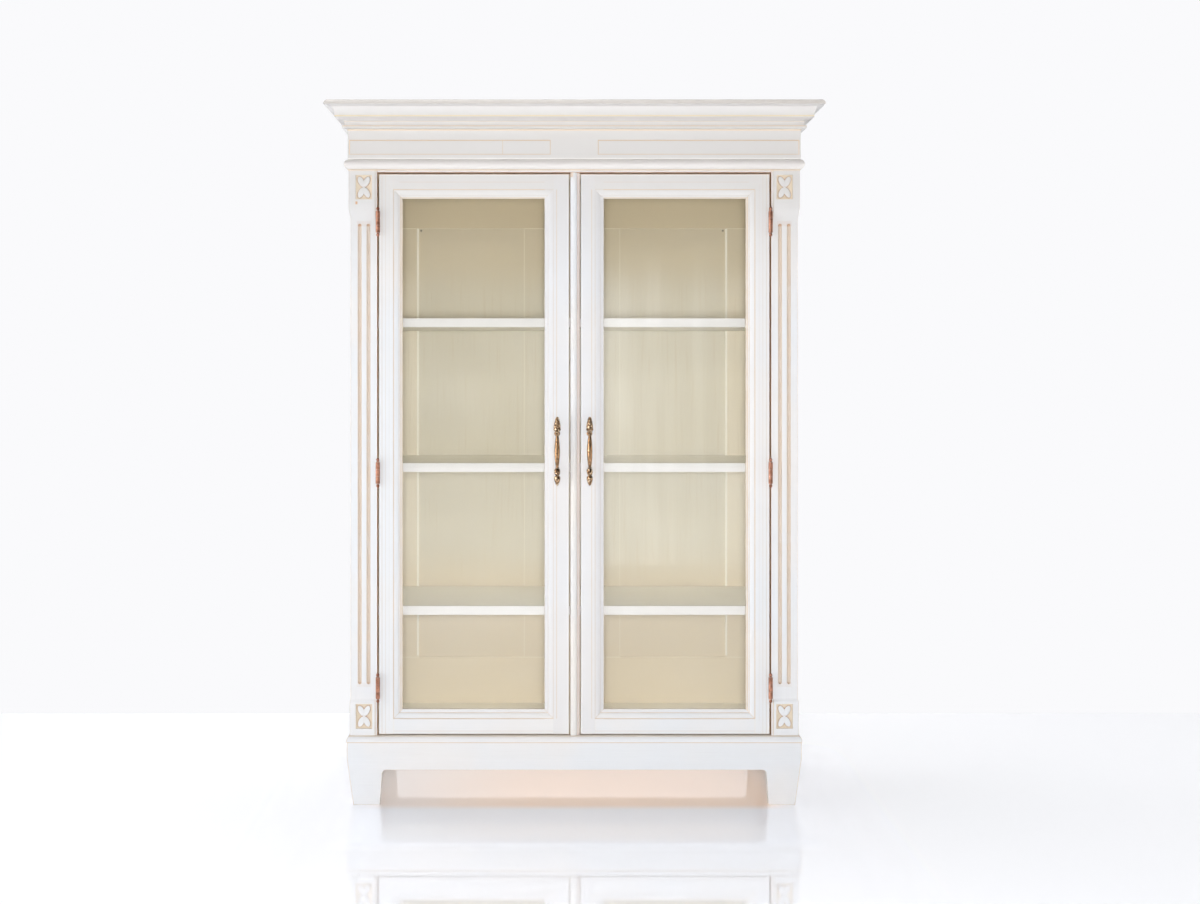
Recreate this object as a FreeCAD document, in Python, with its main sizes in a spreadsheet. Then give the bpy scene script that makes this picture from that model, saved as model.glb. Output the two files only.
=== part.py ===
import FreeCAD, Part
import math
import os
import re

import Sketcher

# Display cabinet with two glazed doors, in millimetres. +Z is up, the front faces -Y and the origin
# lies on the floor under the middle of the cabinet's box.

DOC = FreeCAD.newDocument("DisplayCabinet")
SHEET = DOC.addObject("Spreadsheet::Sheet", "Dim")
NODES = []

# Driving dimensions: alias, value and what it measures
DRIVING = [
    ("body_width", 1273.2, "width over the side panels"),
    ("depth", 486, "whole depth, crown to back"),
    ("height", 2000, "whole height"),
    ("side_thick", 22, "side panels"),
    ("frame_thick", 22, "pilasters and top rail"),
    ("board_thick", 22, "bottom and top boards"),
    ("bottom_drop", 4, "bottom board below the top of the base"),
    ("seat_gap", 0.5, "play at each end of a loose shelf"),
    ("cut_over", 10, "overrun of every cut"),
    ("crown_height", 76, "crown moulding"),
    ("crown_out", 67.4, "tip of the crown beyond the body"),
    ("crown_top_out", 58.4, "top edge of the crown beyond the body"),
    ("crown_nose", 13, "height of the rounded nose under the top edge"),
    ("crown_fillet", 4, "height of the fillet under the nose"),
    ("cove_top_out", 48.4, "top of the cove beyond the body"),
    ("cove_foot_out", 40, "foot of the cove beyond the body"),
    ("cove_height", 23.5, "height of the cove"),
    ("drip_height", 5, "square edge under the cove"),
    ("soffit_rise", 7, "rise of the soffit from band to cove"),
    ("band_out", 16.6, "plain band beyond the body"),
    ("bed_out", 22, "bed moulding beyond the body"),
    ("bed_slant", 3, "rise of the bed moulding's underside"),
    ("bed_height", 9, "bed moulding over the frieze"),
    ("frieze_height", 84, "frieze board"),
    ("frieze_out", 7.5, "face of the frieze beyond the body"),
    ("frieze_thick", 18, "frieze board"),
    ("panel_sink", 1.5, "depth of the frieze panels"),
    ("panel_rise", 14, "foot of the frieze panels above the bead"),
    ("panel_height", 39.6, "height of the frieze panels"),
    ("panel_inner", 68, "frieze panel's inner end from the middle"),
    ("panel_end", 5, "frieze panel's outer end from the corner"),
    ("lid_thick", 18, "dust board"),
    ("lid_drop", 5, "dust board below the top edge"),
    ("bead_height", 30, "half-round bead under the frieze"),
    ("bead_out", 17.4, "half-round bead beyond the body"),
    ("rail_height", 37, "top rail of the front frame"),
    ("pilaster_width", 76, "pilasters"),
    ("block_out", 5.4, "top block proud of the shaft"),
    ("block_height", 98, "top block"),
    ("ogee_height", 53, "curve under the top block"),
    ("plinth_out", 2.6, "bottom block proud of the shaft"),
    ("plinth_height", 92, "bottom block"),
    ("plinth_curve", 14, "curve over the bottom block"),
    ("block_inset", 6.5, "proud blocks start this far from the door"),
    ("tile_width", 46, "carved tile"),
    ("tile_height", 69, "carved tile"),
    ("tile_sink", 5, "depth of the tile's recess"),
    ("tile_top_drop", 49, "top tile's middle below the bead"),
    ("tile_base_rise", 54.6, "bottom tile's middle above the base"),
    ("tile_plate", 1.5, "ground of the carved tile"),
    ("tile_play", 0.2, "play round the tile"),
    ("petal_rise", 2.6, "petals above the ground"),
    ("petal_width", 15, "petals"),
    ("petal_start", 3, "petals start this far from the middle"),
    ("petal_end", 37, "petals end this far from the middle"),
    ("boss_radius", 5.5, "middle of the carving"),
    ("flute_radius", 5, "flutes"),
    ("flute_pitch", 25, "flute to flute"),
    ("flute_foot_gap", 40, "foot of the flutes above the bottom block"),
    ("flute_top_gap", 2, "top of the flutes below the top block"),
    ("post_bead_width", 20, "rounded bead of the centre post"),
    ("post_bead_rise", 4, "bead beyond the frame's face"),
    ("post_middle", -1.4, "bead's middle from the cabinet's middle"),
    ("post_flat_width", 7, "sunk flat beside the bead"),
    ("post_flat_sink", 5, "sunk flat behind the frame's face"),
    ("divider_thick", 18, "partition between the bays"),
    ("base_height", 200, "top of the base above the floor"),
    ("base_out", 9.4, "base beyond the body"),
    ("ledge_height", 18, "moulded top edge of the base"),
    ("ledge_nose", 7, "square edge at the foot of the ledge"),
    ("ledge_out", 1.6, "ledge beyond the base boards"),
    ("apron_share", 0.515, "underside of the apron above the floor, of the base"),
    ("foot_width", 99, "bracket foot at the apron"),
    ("foot_taper", 16, "outer faces of the foot draw in"),
    ("foot_taper_share", 0.685, "height of that taper, of the base"),
    ("foot_splay", 8, "inner edge of the foot draws out"),
    ("foot_radius", 12, "corner of foot and apron"),
    ("glue_block", 34, "corner blocks"),
    ("glue_block_rise", 6, "corner blocks above the floor"),
    ("door_thick", 20, "doors"),
    ("door_setback", 2, "doors behind the frame's face"),
    ("door_side_gap", 4, "gap at the hinges"),
    ("door_gap", 3, "gap at the centre post and below"),
    ("door_top_gap", 4, "gap above the doors"),
    ("shut_gap", 2, "top board behind the closed doors"),
    ("door_edge_radius", 1.5, "eased front edges of the doors"),
    ("stile_width", 66.6, "hinge stiles"),
    ("door_rail_width", 69, "door rails"),
    ("glass_inner", 84.4, "edge of the glass from the middle"),
    ("mould_width", 25, "moulding round the glass"),
    ("mould_quirk", 1.5, "step where the moulding starts"),
    ("mould_round_width", 15, "rounded part of the moulding"),
    ("mould_round_drop", 5, "fall of the rounded part"),
    ("mould_step", 1.5, "second step"),
    ("mould_slope_drop", 2, "fall of the slope to the glass"),
    ("glass_seat", 12, "glass behind the door's face"),
    ("glass_lap", 9, "rebate's lap over the glass"),
    ("glass_play", 1, "play round the glass"),
    ("glass_thick", 4, "glass"),
    ("back_frame_thick", 14, "members of the back"),
    ("back_panel_thick", 6, "panels of the back"),
    ("back_rail_height", 144, "bottom rail of the back above the bottom board"),
    ("back_rail_drop", 104, "top rail of the back below the top board"),
    ("back_stile_width", 133.6, "outer stiles of the back"),
    ("back_panel_inner", 150, "back panel's inner edge from the middle"),
    ("shelf_thick", 25, "shelves"),
    ("shelf_setback", 30, "shelf's front edge behind the frame's face"),
    ("shelf_lower_share", 0.2305, "top of the lower shelves, of the bays' height"),
    ("shelf_middle_share", 0.48807, "top of the middle shelves, of the bays' height"),
    ("shelf_upper_share", 0.74906, "top of the upper shelves, of the bays' height"),
    ("rest_width", 12, "flat rests under the shelves"),
    ("rest_thick", 3, "flat rests under the shelves"),
    ("rest_length", 10, "flat rests under the shelves"),
    ("rest_inset", 50, "rests from the shelf's edges"),
    ("hinge_out", 6.4, "hinge axis in front of the frame's face"),
    ("knuckle_radius", 6, "hinge barrels"),
    ("knuckle_length", 19.6, "each of three knuckles"),
    ("knuckle_gap", 0.4, "between knuckles"),
    ("leaf_thick", 1.5, "hinge leaves"),
    ("leaf_depth", 18, "hinge leaves along the door's edge"),
    ("leaf_relief", 0.5, "leaf clear of the other knuckle"),
    ("pin_radius", 2.5, "hinge pins"),
    ("pin_play", 0.05, "running clearance round the pin"),
    ("finial_foot", 5.2, "radius of the finials' foot"),
    ("finial_tip", 1.4, "radius of the finials' tip"),
    ("finial_height", 13.6, "pointed finials of the hinge pins"),
    ("hinge_upper_drop", 137, "middle of the upper hinges below the door's top"),
    ("hinge_lower_rise", 133, "middle of the lower hinges above the door's foot"),
    ("hinge_middle_share", 0.4615, "middle hinges between the lower and upper ones"),
    ("handle_left", -48.5, "left handle from the middle"),
    ("handle_right", 43.5, "right handle from the middle"),
    ("handle_middle", 1010, "middle of the grip above the floor"),
    ("handle_out", 26, "grip's axis in front of the door's face"),
    ("grip_half", 45, "half length of the grip"),
    ("grip_radius", 7.6, "grip at its swelling"),
    ("grip_neck", 4.2, "grip at its ends"),
    ("ring_radius", 8.6, "rings at the posts"),
    ("ring_height", 9, "ring at the upper post"),
    ("knob_height", 22, "knob at the lower post"),
    ("post_radius", 3.5, "posts to the door"),
    ("rose_radius", 9, "roses on the door"),
    ("rose_thick", 3, "roses on the door"),
    ("bud_radius", 10.4, "top finial of the handle"),
    ("bud_height", 44, "top finial of the handle"),
    ("bud_wide_share", 0.4, "widest place of the finials, of their height"),
    ("belt_share", 0.35, "straight middle of each swelling, of its half height"),
    ("tip_radius", 1.2, "blunt tips of the finials"),
    ("turned_sides", 16, "corners that draw the round of small turned ironmongery"),
    ("drop_radius", 9.4, "lower finial of the handle"),
    ("drop_height", 30, "lower finial of the handle"),
    ("catch_width", 36, "magnetic catches"),
    ("catch_height", 12, "magnetic catches"),
    ("catch_depth", 16, "magnetic catches"),
    ("catch_from_middle", 22, "catch's near end from the middle"),
    ("strike_thick", 1.5, "strike plates"),
    ("strike_gap", 0.4, "closed strike to catch"),
]

# Places that follow from the driving dimensions
DERIVED = [
    ("body_half", "body_width / 2"),
    ("back_y", "depth / 2"),
    ("face_y", "crown_out - depth / 2"),
    ("frame_back", "face_y + frame_thick"),
    ("inside_half", "body_half - side_thick"),
    ("opening_half", "body_half - pilaster_width"),
    ("crown_bottom", "height - crown_height"),
    ("frame_top", "crown_bottom - frieze_height"),
    ("rail_bottom", "frame_top - rail_height"),
    ("bead_bottom", "frame_top - bead_height"),
    ("block_bottom", "bead_bottom - block_height"),
    ("plinth_top", "base_height + plinth_height"),
    ("frieze_back_out", "frieze_out - frieze_thick"),
    ("ceiling", "bead_bottom - board_thick"),
    ("floor_top", "base_height - bottom_drop"),
    ("lid_top", "height - lid_drop"),
    ("back_frame_y", "back_y - back_frame_thick"),
    ("divider_half", "divider_thick / 2"),
    ("post_left", "post_middle - post_bead_width / 2"),
    ("post_right", "post_middle + post_bead_width / 2 + post_flat_width"),
    ("door_face", "face_y + door_setback"),
    ("door_back", "door_face + door_thick"),
    ("door_outer", "opening_half - door_side_gap"),
    ("meeting_left", "door_gap - post_left"),
    ("meeting_right", "post_right + door_gap"),
    ("door_bottom", "base_height + door_gap"),
    ("door_top", "rail_bottom - door_top_gap"),
    ("glass_outer", "door_outer - stile_width"),
    ("glass_bottom", "door_bottom + door_rail_width"),
    ("glass_top", "door_top - door_rail_width"),
    ("hinge_x", "opening_half - door_side_gap / 2"),
    ("hinge_y", "face_y - hinge_out"),
    ("barrel_half", "knuckle_length * 1.5 + knuckle_gap"),
    ("tile_x", "body_half - pilaster_width / 2"),
    ("tile_top_z", "bead_bottom - tile_top_drop"),
    ("tile_base_z", "base_height + tile_base_rise"),
    ("apron_bottom", "base_height * apron_share"),
    ("foot_taper_height", "base_height * foot_taper_share"),
    ("flute_bottom", "plinth_top + plinth_curve + flute_foot_gap"),
    ("flute_top", "block_bottom - ogee_height - flute_top_gap"),
    ("bay_height", "ceiling - floor_top"),
    ("shelf_lower_top", "floor_top + bay_height * shelf_lower_share"),
    ("shelf_middle_top", "floor_top + bay_height * shelf_middle_share"),
    ("shelf_upper_top", "floor_top + bay_height * shelf_upper_share"),
    ("back_panel_bottom", "floor_top + back_rail_height"),
    ("back_panel_top", "ceiling - back_rail_drop"),
    ("back_panel_outer", "inside_half - back_stile_width"),
    ("hinge_upper", "door_top - hinge_upper_drop"),
    ("hinge_lower", "door_bottom + hinge_lower_rise"),
    ("hinge_middle", "hinge_lower + (hinge_upper - hinge_lower) * hinge_middle_share"),
    ("petal_wide", "(petal_start + petal_end) / 2"),
    ("post_bead_bow", "((post_bead_width / 2)^2 + (2 * post_bead_rise)^2) / (4 * post_bead_rise)"),
    ("inside_front", "door_back + shut_gap"),
    ("mould_low", "mould_quirk + mould_round_drop + mould_step"),
]


def fill_sheet():
    """Write the driving dimensions and the places that follow from them into the sheet."""
    row = 1
    for alias, value, meaning in DRIVING:
        SHEET.set(f"A{row}", meaning)
        SHEET.set(f"B{row}", str(value))
        SHEET.setAlias(f"B{row}", alias)
        row += 1
    for alias, formula in DERIVED:
        SHEET.set(f"B{row}", "=" + formula)
        SHEET.setAlias(f"B{row}", alias)
        row += 1
    DOC.recompute()


def bound(words):
    """Turn a sum written with bare aliases into an expression on the sheet's cells."""
    return re.sub(r"[a-z]\w*", lambda name: "Dim." + name.group(), str(words))


def value_of(words):
    """Return the present value of a sum of aliases, in millimetres."""
    result = SHEET.evalExpression(bound(words))
    return float(getattr(result, "Value", result))


def minus(words):
    """Return the same sum with the other sign."""
    return f"-({words})"


def mirrored(side, words):
    """Return a sum for the right side, or its mirror image for the left one."""
    return minus(words) if side == "left" else words


def span(side, near, far):
    """Return a pair of X sums, low one first, from a pair written for the right side."""
    return (minus(far), minus(near)) if side == "left" else (near, far)


def keep(part, label):
    """Name a finished sub-part and list it for export."""
    part.Label = label
    NODES.append(part)
    return part


# Part primitives bound to the sheet

def box(name, across, along, up):
    """Add a Part::Box between three pairs of sums."""
    block = DOC.addObject("Part::Box", name)
    for size, axis, (low, high) in zip(("Length", "Width", "Height"), "xyz", (across, along, up)):
        block.setExpression(size, bound(f"({high}) - ({low})"))
        block.setExpression(f"Placement.Base.{axis}", bound(low))
    return block


def board(label, across, along, up):
    """Add a plain board as a sub-part of its own."""
    return keep(box(label, across, along, up), label)


def cylinder(name, radius, length, place):
    """Add an upright Part::Cylinder that starts at a place."""
    rod = DOC.addObject("Part::Cylinder", name)
    rod.setExpression("Radius", bound(radius))
    rod.setExpression("Height", bound(length))
    put(rod, place)
    return rod


def turned(name, place, profile):
    """Add a small turned piece on an upright axis, from its foot up: each point is (radius, height).

    Its round is drawn by polygons, because the many small pieces would otherwise outweigh the cabinet.
    """
    rounds = []
    for radius, height in profile:
        corners = DOC.addObject("Part::RegularPolygon", "round")
        corners.setExpression("Polygon", bound("turned_sides"))
        corners.setExpression("Circumradius", bound(radius))
        put(corners, (*place[:2], f"{place[2]} + {height}"))
        rounds.append(corners)
    piece = DOC.addObject("Part::Loft", name)
    piece.Sections = rounds
    piece.Solid = True
    piece.Ruled = True
    piece.Linearize = True
    return piece


def put(part, place):
    """Bind the place of a part to three sums."""
    for axis, words in zip("xyz", place):
        part.setExpression(f"Placement.Base.{axis}", bound(words))


def fused(name, shapes):
    """Fuse several parts into one solid."""
    union = DOC.addObject("Part::MultiFuse", name)
    union.Shapes = shapes
    return union


def cut(name, base, tool):
    """Cut one part with another."""
    left = DOC.addObject("Part::Cut", name)
    left.Base = base
    left.Tool = tool
    return left


def group(label, parts):
    """Keep several alike solids as one sub-part."""
    compound = DOC.addObject("Part::Compound", label)
    compound.Links = parts
    return keep(compound, label)


# Bodies, sketches and features

def new_body(label):
    """Start a PartDesign body that is a sub-part of its own."""
    return keep(DOC.addObject("PartDesign::Body", label), label)


def sketch_on(body, role, offset="0"):
    """Attach a new sketch to one of the body's own origin planes."""
    sketch = body.newObject("Sketcher::SketchObject", body.Name + "_sketch")
    plane = next(feature for feature in body.Origin.OriginFeatures if feature.Role == role)
    sketch.AttachmentSupport = [(plane, "")]
    sketch.MapMode = "FlatFace"
    sketch.setExpression("AttachmentOffset.Base.z", bound(offset))
    return sketch


def fix(sketch, item, point, across, up):
    """Bind both coordinates of one point of the sketch."""
    for kind, words in (("DistanceX", across), ("DistanceY", up)):
        if words is None:
            continue
        number = sketch.addConstraint(
            Sketcher.Constraint(kind, -1, 1, item, point, value_of(words)))
        sketch.setExpression(f"Constraints[{number}]", bound(words))


def arc_middle(start, end, known, level):
    """Return the centre on the chord's bisector that has the known coordinate."""
    (x1, y1), (x2, y2) = start, end
    half = (x2 * x2 - x1 * x1 + y2 * y2 - y1 * y1) / 2
    if known == "x":
        return level, (half - level * (x2 - x1)) / (y2 - y1)
    return (half - level * (y2 - y1)) / (x2 - x1), level


def outline(sketch, points):
    """Draw a closed outline, with every point bound to the sheet.

    A point is (across, up), or (across, up, turn, known, level) when an arc leads to it: turn is 1
    for a counter-clockwise arc and -1 for a clockwise one, and level is the centre's known x or y.
    """
    spots = [(value_of(point[0]), value_of(point[1])) for point in points]
    ends = []
    for index, point in enumerate(points):
        start, end = spots[index - 1], spots[index]
        if len(point) == 2:
            line = Part.LineSegment(FreeCAD.Vector(*start, 0), FreeCAD.Vector(*end, 0))
            item = sketch.addGeometry(line, False)
            ends.append((item, 1, 2))
        else:
            turn, known, level = point[2:]
            middle = arc_middle(start, end, known, value_of(level))
            reach = math.dist(middle, start)
            angles = [math.atan2(spot[1] - middle[1], spot[0] - middle[0]) for spot in (start, end)]
            circle = Part.Circle(FreeCAD.Vector(*middle, 0), FreeCAD.Vector(0, 0, 1), reach)
            item = sketch.addGeometry(Part.ArcOfCircle(circle, *angles[::turn]), False)
            ends.append((item, 1, 2) if turn > 0 else (item, 2, 1))
            fix(sketch, item, 3, level if known == "x" else None, level if known == "y" else None)
    for index, point in enumerate(points):
        item, first, last = ends[index]
        after, after_first, _ = ends[(index + 1) % len(points)]
        sketch.addConstraint(Sketcher.Constraint("Coincident", item, last, after, after_first))
        fix(sketch, item, last, point[0], point[1])


def rectangle(across, up):
    """Return the corners of a rectangle between two pairs of sums."""
    return [(across[0], up[0]), (across[1], up[0]), (across[1], up[1]), (across[0], up[1])]


def pad(body, sketch, length, reverse=False, both=False):
    """Pad a sketch by a sum."""
    feature = body.newObject("PartDesign::Pad", body.Name + "_pad")
    feature.Profile = sketch
    feature.setExpression("Length", bound(length))
    feature.Reversed = reverse
    feature.Midplane = both
    DOC.recompute()
    return feature


def pocket(body, sketch, depth=None, reverse=False):
    """Cut a sketch out of the body, right through it both ways if no depth is given."""
    before = body.Shape.Volume
    feature = body.newObject("PartDesign::Pocket", body.Name + "_pocket")
    feature.Profile = sketch
    if depth is None:
        feature.Type = "ThroughAll"
        feature.Midplane = True
    else:
        feature.setExpression("Length", bound(depth))
        feature.Reversed = reverse
    DOC.recompute()
    check_removed(body, feature, before)
    return feature


def check_removed(body, feature, before):
    """Stop the build when a cut took nothing away."""
    if not body.Shape.Volume < before:
        raise RuntimeError(f"{feature.Name} cuts nothing")


def revolve(body, sketch, kind="Revolution"):
    """Turn a sketch round its own vertical axis, to add or to cut."""
    before = body.Shape.Volume if kind == "Groove" else None
    feature = body.newObject("PartDesign::" + kind, body.Name + "_turned")
    feature.Profile = sketch
    feature.ReferenceAxis = (sketch, ["V_Axis"])
    feature.Angle = 360
    DOC.recompute()
    if before is not None:
        check_removed(body, feature, before)
    return feature


# Mouldings that run round the front and both sides, mitred at the front corners

def moulding(label, side, profile, inner_out, outer_out):
    """Make one length of a moulding from its section.

    The section's points are (out, up): out from the body's face, up from the floor. inner_out and
    outer_out are the least and most of out, and bound the mitre.
    """
    body = new_body(label)
    if side == "front":
        section = sketch_on(body, "YZ_Plane")
        outline(section, laid(profile, out_from("face_y", -1), same, mirror=True))
        pad(body, section, f"2 * (body_half + {outer_out})", both=True)
        corners = []
        for hand in ("left", "right"):
            corners.append(mitre(hand, inner_out, outer_out, "body_half + {}", "face_y - ({})"))
    else:
        section = sketch_on(body, "XZ_Plane", "-back_y")
        outline(section, side_outline(side, laid(profile, out_from("body_half"), same)))
        pad(body, section, f"back_y - face_y + {outer_out}")
        corners = [side_mitre(side, inner_out, outer_out)]
    for corner in corners:
        plan = sketch_on(body, "XY_Plane")
        outline(plan, corner)
        pocket(body, plan)
    return body


def laid(points, first, second, mirror=False, swap=False):
    """Carry an outline over to a sketch plane.

    first and second turn the outline's two sums into the plane's; mirror says that one of them
    runs backwards, and swap exchanges the two axes.
    """
    placed = []
    for a, b, *arc in points:
        spot = (first(a), second(b))
        if arc:
            turn, known, level = arc
            level = first(level) if known == "x" else second(level)
            if swap:
                known = "y" if known == "x" else "x"
            arc = [-turn if mirror != swap else turn, known, level]
        placed.append((*(spot[::-1] if swap else spot), *arc))
    return placed


def same(words):
    """Return a sum as it is."""
    return words


def out_from(start, way=1):
    """Return a function that measures sums from a start, along an axis or against it."""
    return lambda words: f"{start} {'+' if way > 0 else '-'} ({words})"


def side_outline(side, points):
    """Return an outline drawn for the right side, or its mirror image for the left one."""
    return laid(points, lambda words: mirrored(side, words), same, mirror=side == "left")


def mitre(hand, inner_out, outer_out, across, along):
    """Return the waste beyond the mitre at one end of a front length."""
    reach = f"({outer_out}) + cut_over"
    spots = [(across.format(f"({inner_out}) - cut_over"), along.format(f"({inner_out}) - cut_over")),
             (across.format(reach), along.format(reach)),
             (across.format(reach), along.format(f"({inner_out}) - cut_over"))]
    return [(mirrored(hand, x), y) for x, y in spots]


def side_mitre(side, inner_out, outer_out):
    """Return the waste in front of the mitre of a side length."""
    reach = f"({outer_out}) + cut_over"
    low = f"({inner_out}) - cut_over"
    spots = [(f"body_half + {low}", f"face_y - ({low})"),
             (f"body_half + {reach}", f"face_y - ({reach})"),
             (f"body_half + {low}", f"face_y - ({reach})")]
    return [(mirrored(side, x), y) for x, y in spots]


def crown():
    """Crown moulding: rounded nose, fillet, cove, square edge, soffit, plain band and bed moulding."""
    nose_bottom = "height - crown_nose"
    cove_top = "height - crown_nose - crown_fillet"
    cove_foot = f"{cove_top} - cove_height"
    drip_bottom = f"{cove_foot} - drip_height"
    profile = [
        ("frieze_back_out", "crown_bottom"),
        ("frieze_out", "crown_bottom"),
        ("bed_out", "crown_bottom + bed_slant"),
        ("bed_out", "crown_bottom + bed_height"),
        ("band_out", "crown_bottom + bed_height"),
        ("band_out", f"{drip_bottom} - soffit_rise"),
        ("cove_foot_out", drip_bottom),
        ("cove_foot_out", cove_foot),
        ("cove_top_out", cove_top, -1, "y", f"{cove_foot} - crown_fillet"),
        ("crown_out", nose_bottom),
        ("crown_top_out", "height", 1, "y", nose_bottom),
        ("frieze_back_out", "height"),
    ]
    for side in ("front", "left", "right"):
        moulding(f"crown_{side}", side, profile, "frieze_back_out", "crown_out")


def frieze():
    """Frieze boards, the front one with two long shallow panels."""
    profile = rectangle(("frieze_back_out", "frieze_out"), ("frame_top", "crown_bottom"))
    boards = {}
    for side in ("front", "left", "right"):
        boards[side] = moulding(f"frieze_{side}", side, profile, "frieze_back_out", "frieze_out")
    front = boards["front"]
    for hand in ("left", "right"):
        across = span(hand, "panel_inner", "body_half + frieze_out - panel_end")
        panel = sketch_on(front, "XZ_Plane", "-face_y + frieze_out")
        outline(panel, rectangle(across, ("frame_top + panel_rise", "frame_top + panel_rise + panel_height")))
        pocket(front, panel, "panel_sink")


def bead():
    """Half-round bead under the frieze."""
    shoulder = "bead_out - bead_height / 2"
    profile = [
        ("0", "bead_bottom"),
        (shoulder, "bead_bottom"),
        (shoulder, "frame_top", 1, "x", shoulder),
        ("0", "frame_top"),
    ]
    for side in ("front", "left", "right"):
        moulding(f"bead_{side}", side, profile, "0", "bead_out")


def base():
    """Base boards with a moulded ledge, bracket feet that taper outside, and corner blocks."""
    inner = "-frame_thick"
    ledge_bottom = "base_height - ledge_height"
    profile = [
        (inner, "0"),
        ("base_out - foot_taper", "0"),
        ("base_out", "foot_taper_height"),
        ("base_out", ledge_bottom),
        ("base_out + ledge_out", ledge_bottom),
        ("base_out + ledge_out", f"{ledge_bottom} + ledge_nose"),
        ("0", "base_height", 1, "x", "0 - ledge_out"),
        (inner, "base_height"),
    ]
    for side in ("front", "left", "right"):
        body = moulding(f"base_{side}", side, profile, inner, "base_out + ledge_out")
        if side == "front":
            arch = sketch_on(body, "XZ_Plane")
            outline(arch, foot_arch(minus("body_half + base_out - foot_width"),
                                    "body_half + base_out - foot_width"))
        else:
            arch = sketch_on(body, "YZ_Plane")
            outline(arch, foot_arch("face_y - base_out + foot_width", "back_y - foot_width"))
        pocket(body, arch)
    back = new_body("base_back")
    plan = sketch_on(back, "XZ_Plane", "-back_y")
    outline(plan, rectangle(("-inside_half", "inside_half"), ("0", "floor_top - board_thick")))
    pad(back, plan, "board_thick")
    arch = sketch_on(back, "XZ_Plane")
    outline(arch, foot_arch(minus("body_half + base_out - foot_width"), "body_half + base_out - foot_width"))
    pocket(back, arch)
    blocks = []
    for side in ("left", "right"):
        across = span(side, "inside_half - glue_block", "inside_half")
        for along in (("frame_back", "frame_back + glue_block"),
                      ("back_y - board_thick - glue_block", "back_y - board_thick")):
            blocks.append(box("glue_block", across, along, ("glue_block_rise", "floor_top - board_thick")))
    group("glue_blocks", blocks)


def foot_arch(low, high):
    """Return the gap between two feet: slanted sides, rounded corners, flat top."""
    side_top = "apron_bottom - foot_radius"
    return [
        (f"{low} - foot_splay", "-cut_over"),
        (f"{high} + foot_splay", "-cut_over"),
        (high, side_top),
        (f"{high} - foot_radius", "apron_bottom", 1, "y", side_top),
        (f"{low} + foot_radius", "apron_bottom"),
        (low, side_top, 1, "y", side_top),
    ]


# Carcass

def carcass():
    """Side panels, boards, partition and the framed back."""
    back = ("frame_back", "back_y")
    inside = ("frame_back", "back_frame_y")
    for side in ("left", "right"):
        wide = span(side, "inside_half", "body_half")
        board(f"side_panel_{side}", wide, back, ("base_height", "frame_top"))
    across = ("-inside_half", "inside_half")
    board("bottom_board", across, back, ("floor_top - board_thick", "floor_top"))
    board("top_board", across, ("inside_front", "back_frame_y"), ("ceiling", "bead_bottom"))
    board("partition", ("-divider_half", "divider_half"), inside, ("floor_top", "ceiling"))
    lid_half = "body_half + frieze_back_out"
    board("dust_board", (minus(lid_half), lid_half), ("face_y - frieze_back_out", "back_y"),
          ("lid_top - lid_thick", "lid_top"))
    opening = ("-opening_half", "opening_half")
    board("top_rail", opening, ("face_y", "frame_back"), ("rail_bottom", "frame_top"))


def framed_back():
    """Rails and stiles of the back, and two thinner panels between them."""
    along = ("back_frame_y", "back_y")
    across = ("-inside_half", "inside_half")
    tall = ("back_panel_bottom", "back_panel_top")
    board("back_bottom_rail", across, along, ("floor_top", "back_panel_bottom"))
    board("back_top_rail", across, along, ("back_panel_top", "lid_top - lid_thick"))
    board("back_middle_stile", ("-back_panel_inner", "back_panel_inner"), along, tall)
    panel_along = ("back_y - back_panel_thick", "back_y")
    for side in ("left", "right"):
        board(f"back_stile_{side}", span(side, "back_panel_outer", "inside_half"), along, tall)
        board(f"back_panel_{side}", span(side, "back_panel_inner", "back_panel_outer"), panel_along, tall)


def shelves():
    """Three loose shelves in each bay, and four flat rests under each."""
    along = ("face_y + shelf_setback", "back_frame_y - seat_gap")
    middles = (f"{along[0]} + rest_inset", f"{along[1]} - rest_inset")
    rests = []
    for side in ("left", "right"):
        across = span(side, "divider_half + seat_gap", "inside_half - seat_gap")
        for level in ("lower", "middle", "upper"):
            top = f"shelf_{level}_top"
            bottom = f"{top} - shelf_thick"
            board(f"shelf_{side}_{level}", across, along, (bottom, top))
            for wall in ("divider_half", "inside_half - rest_length"):
                reach = span(side, wall, f"{wall} + rest_length")
                for middle in middles:
                    deep = (f"{middle} - rest_width / 2", f"{middle} + rest_width / 2")
                    rests.append(box("rest", reach, deep, (f"{bottom} - rest_thick", bottom)))
    group("shelf_pegs", rests)


# Front frame

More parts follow.
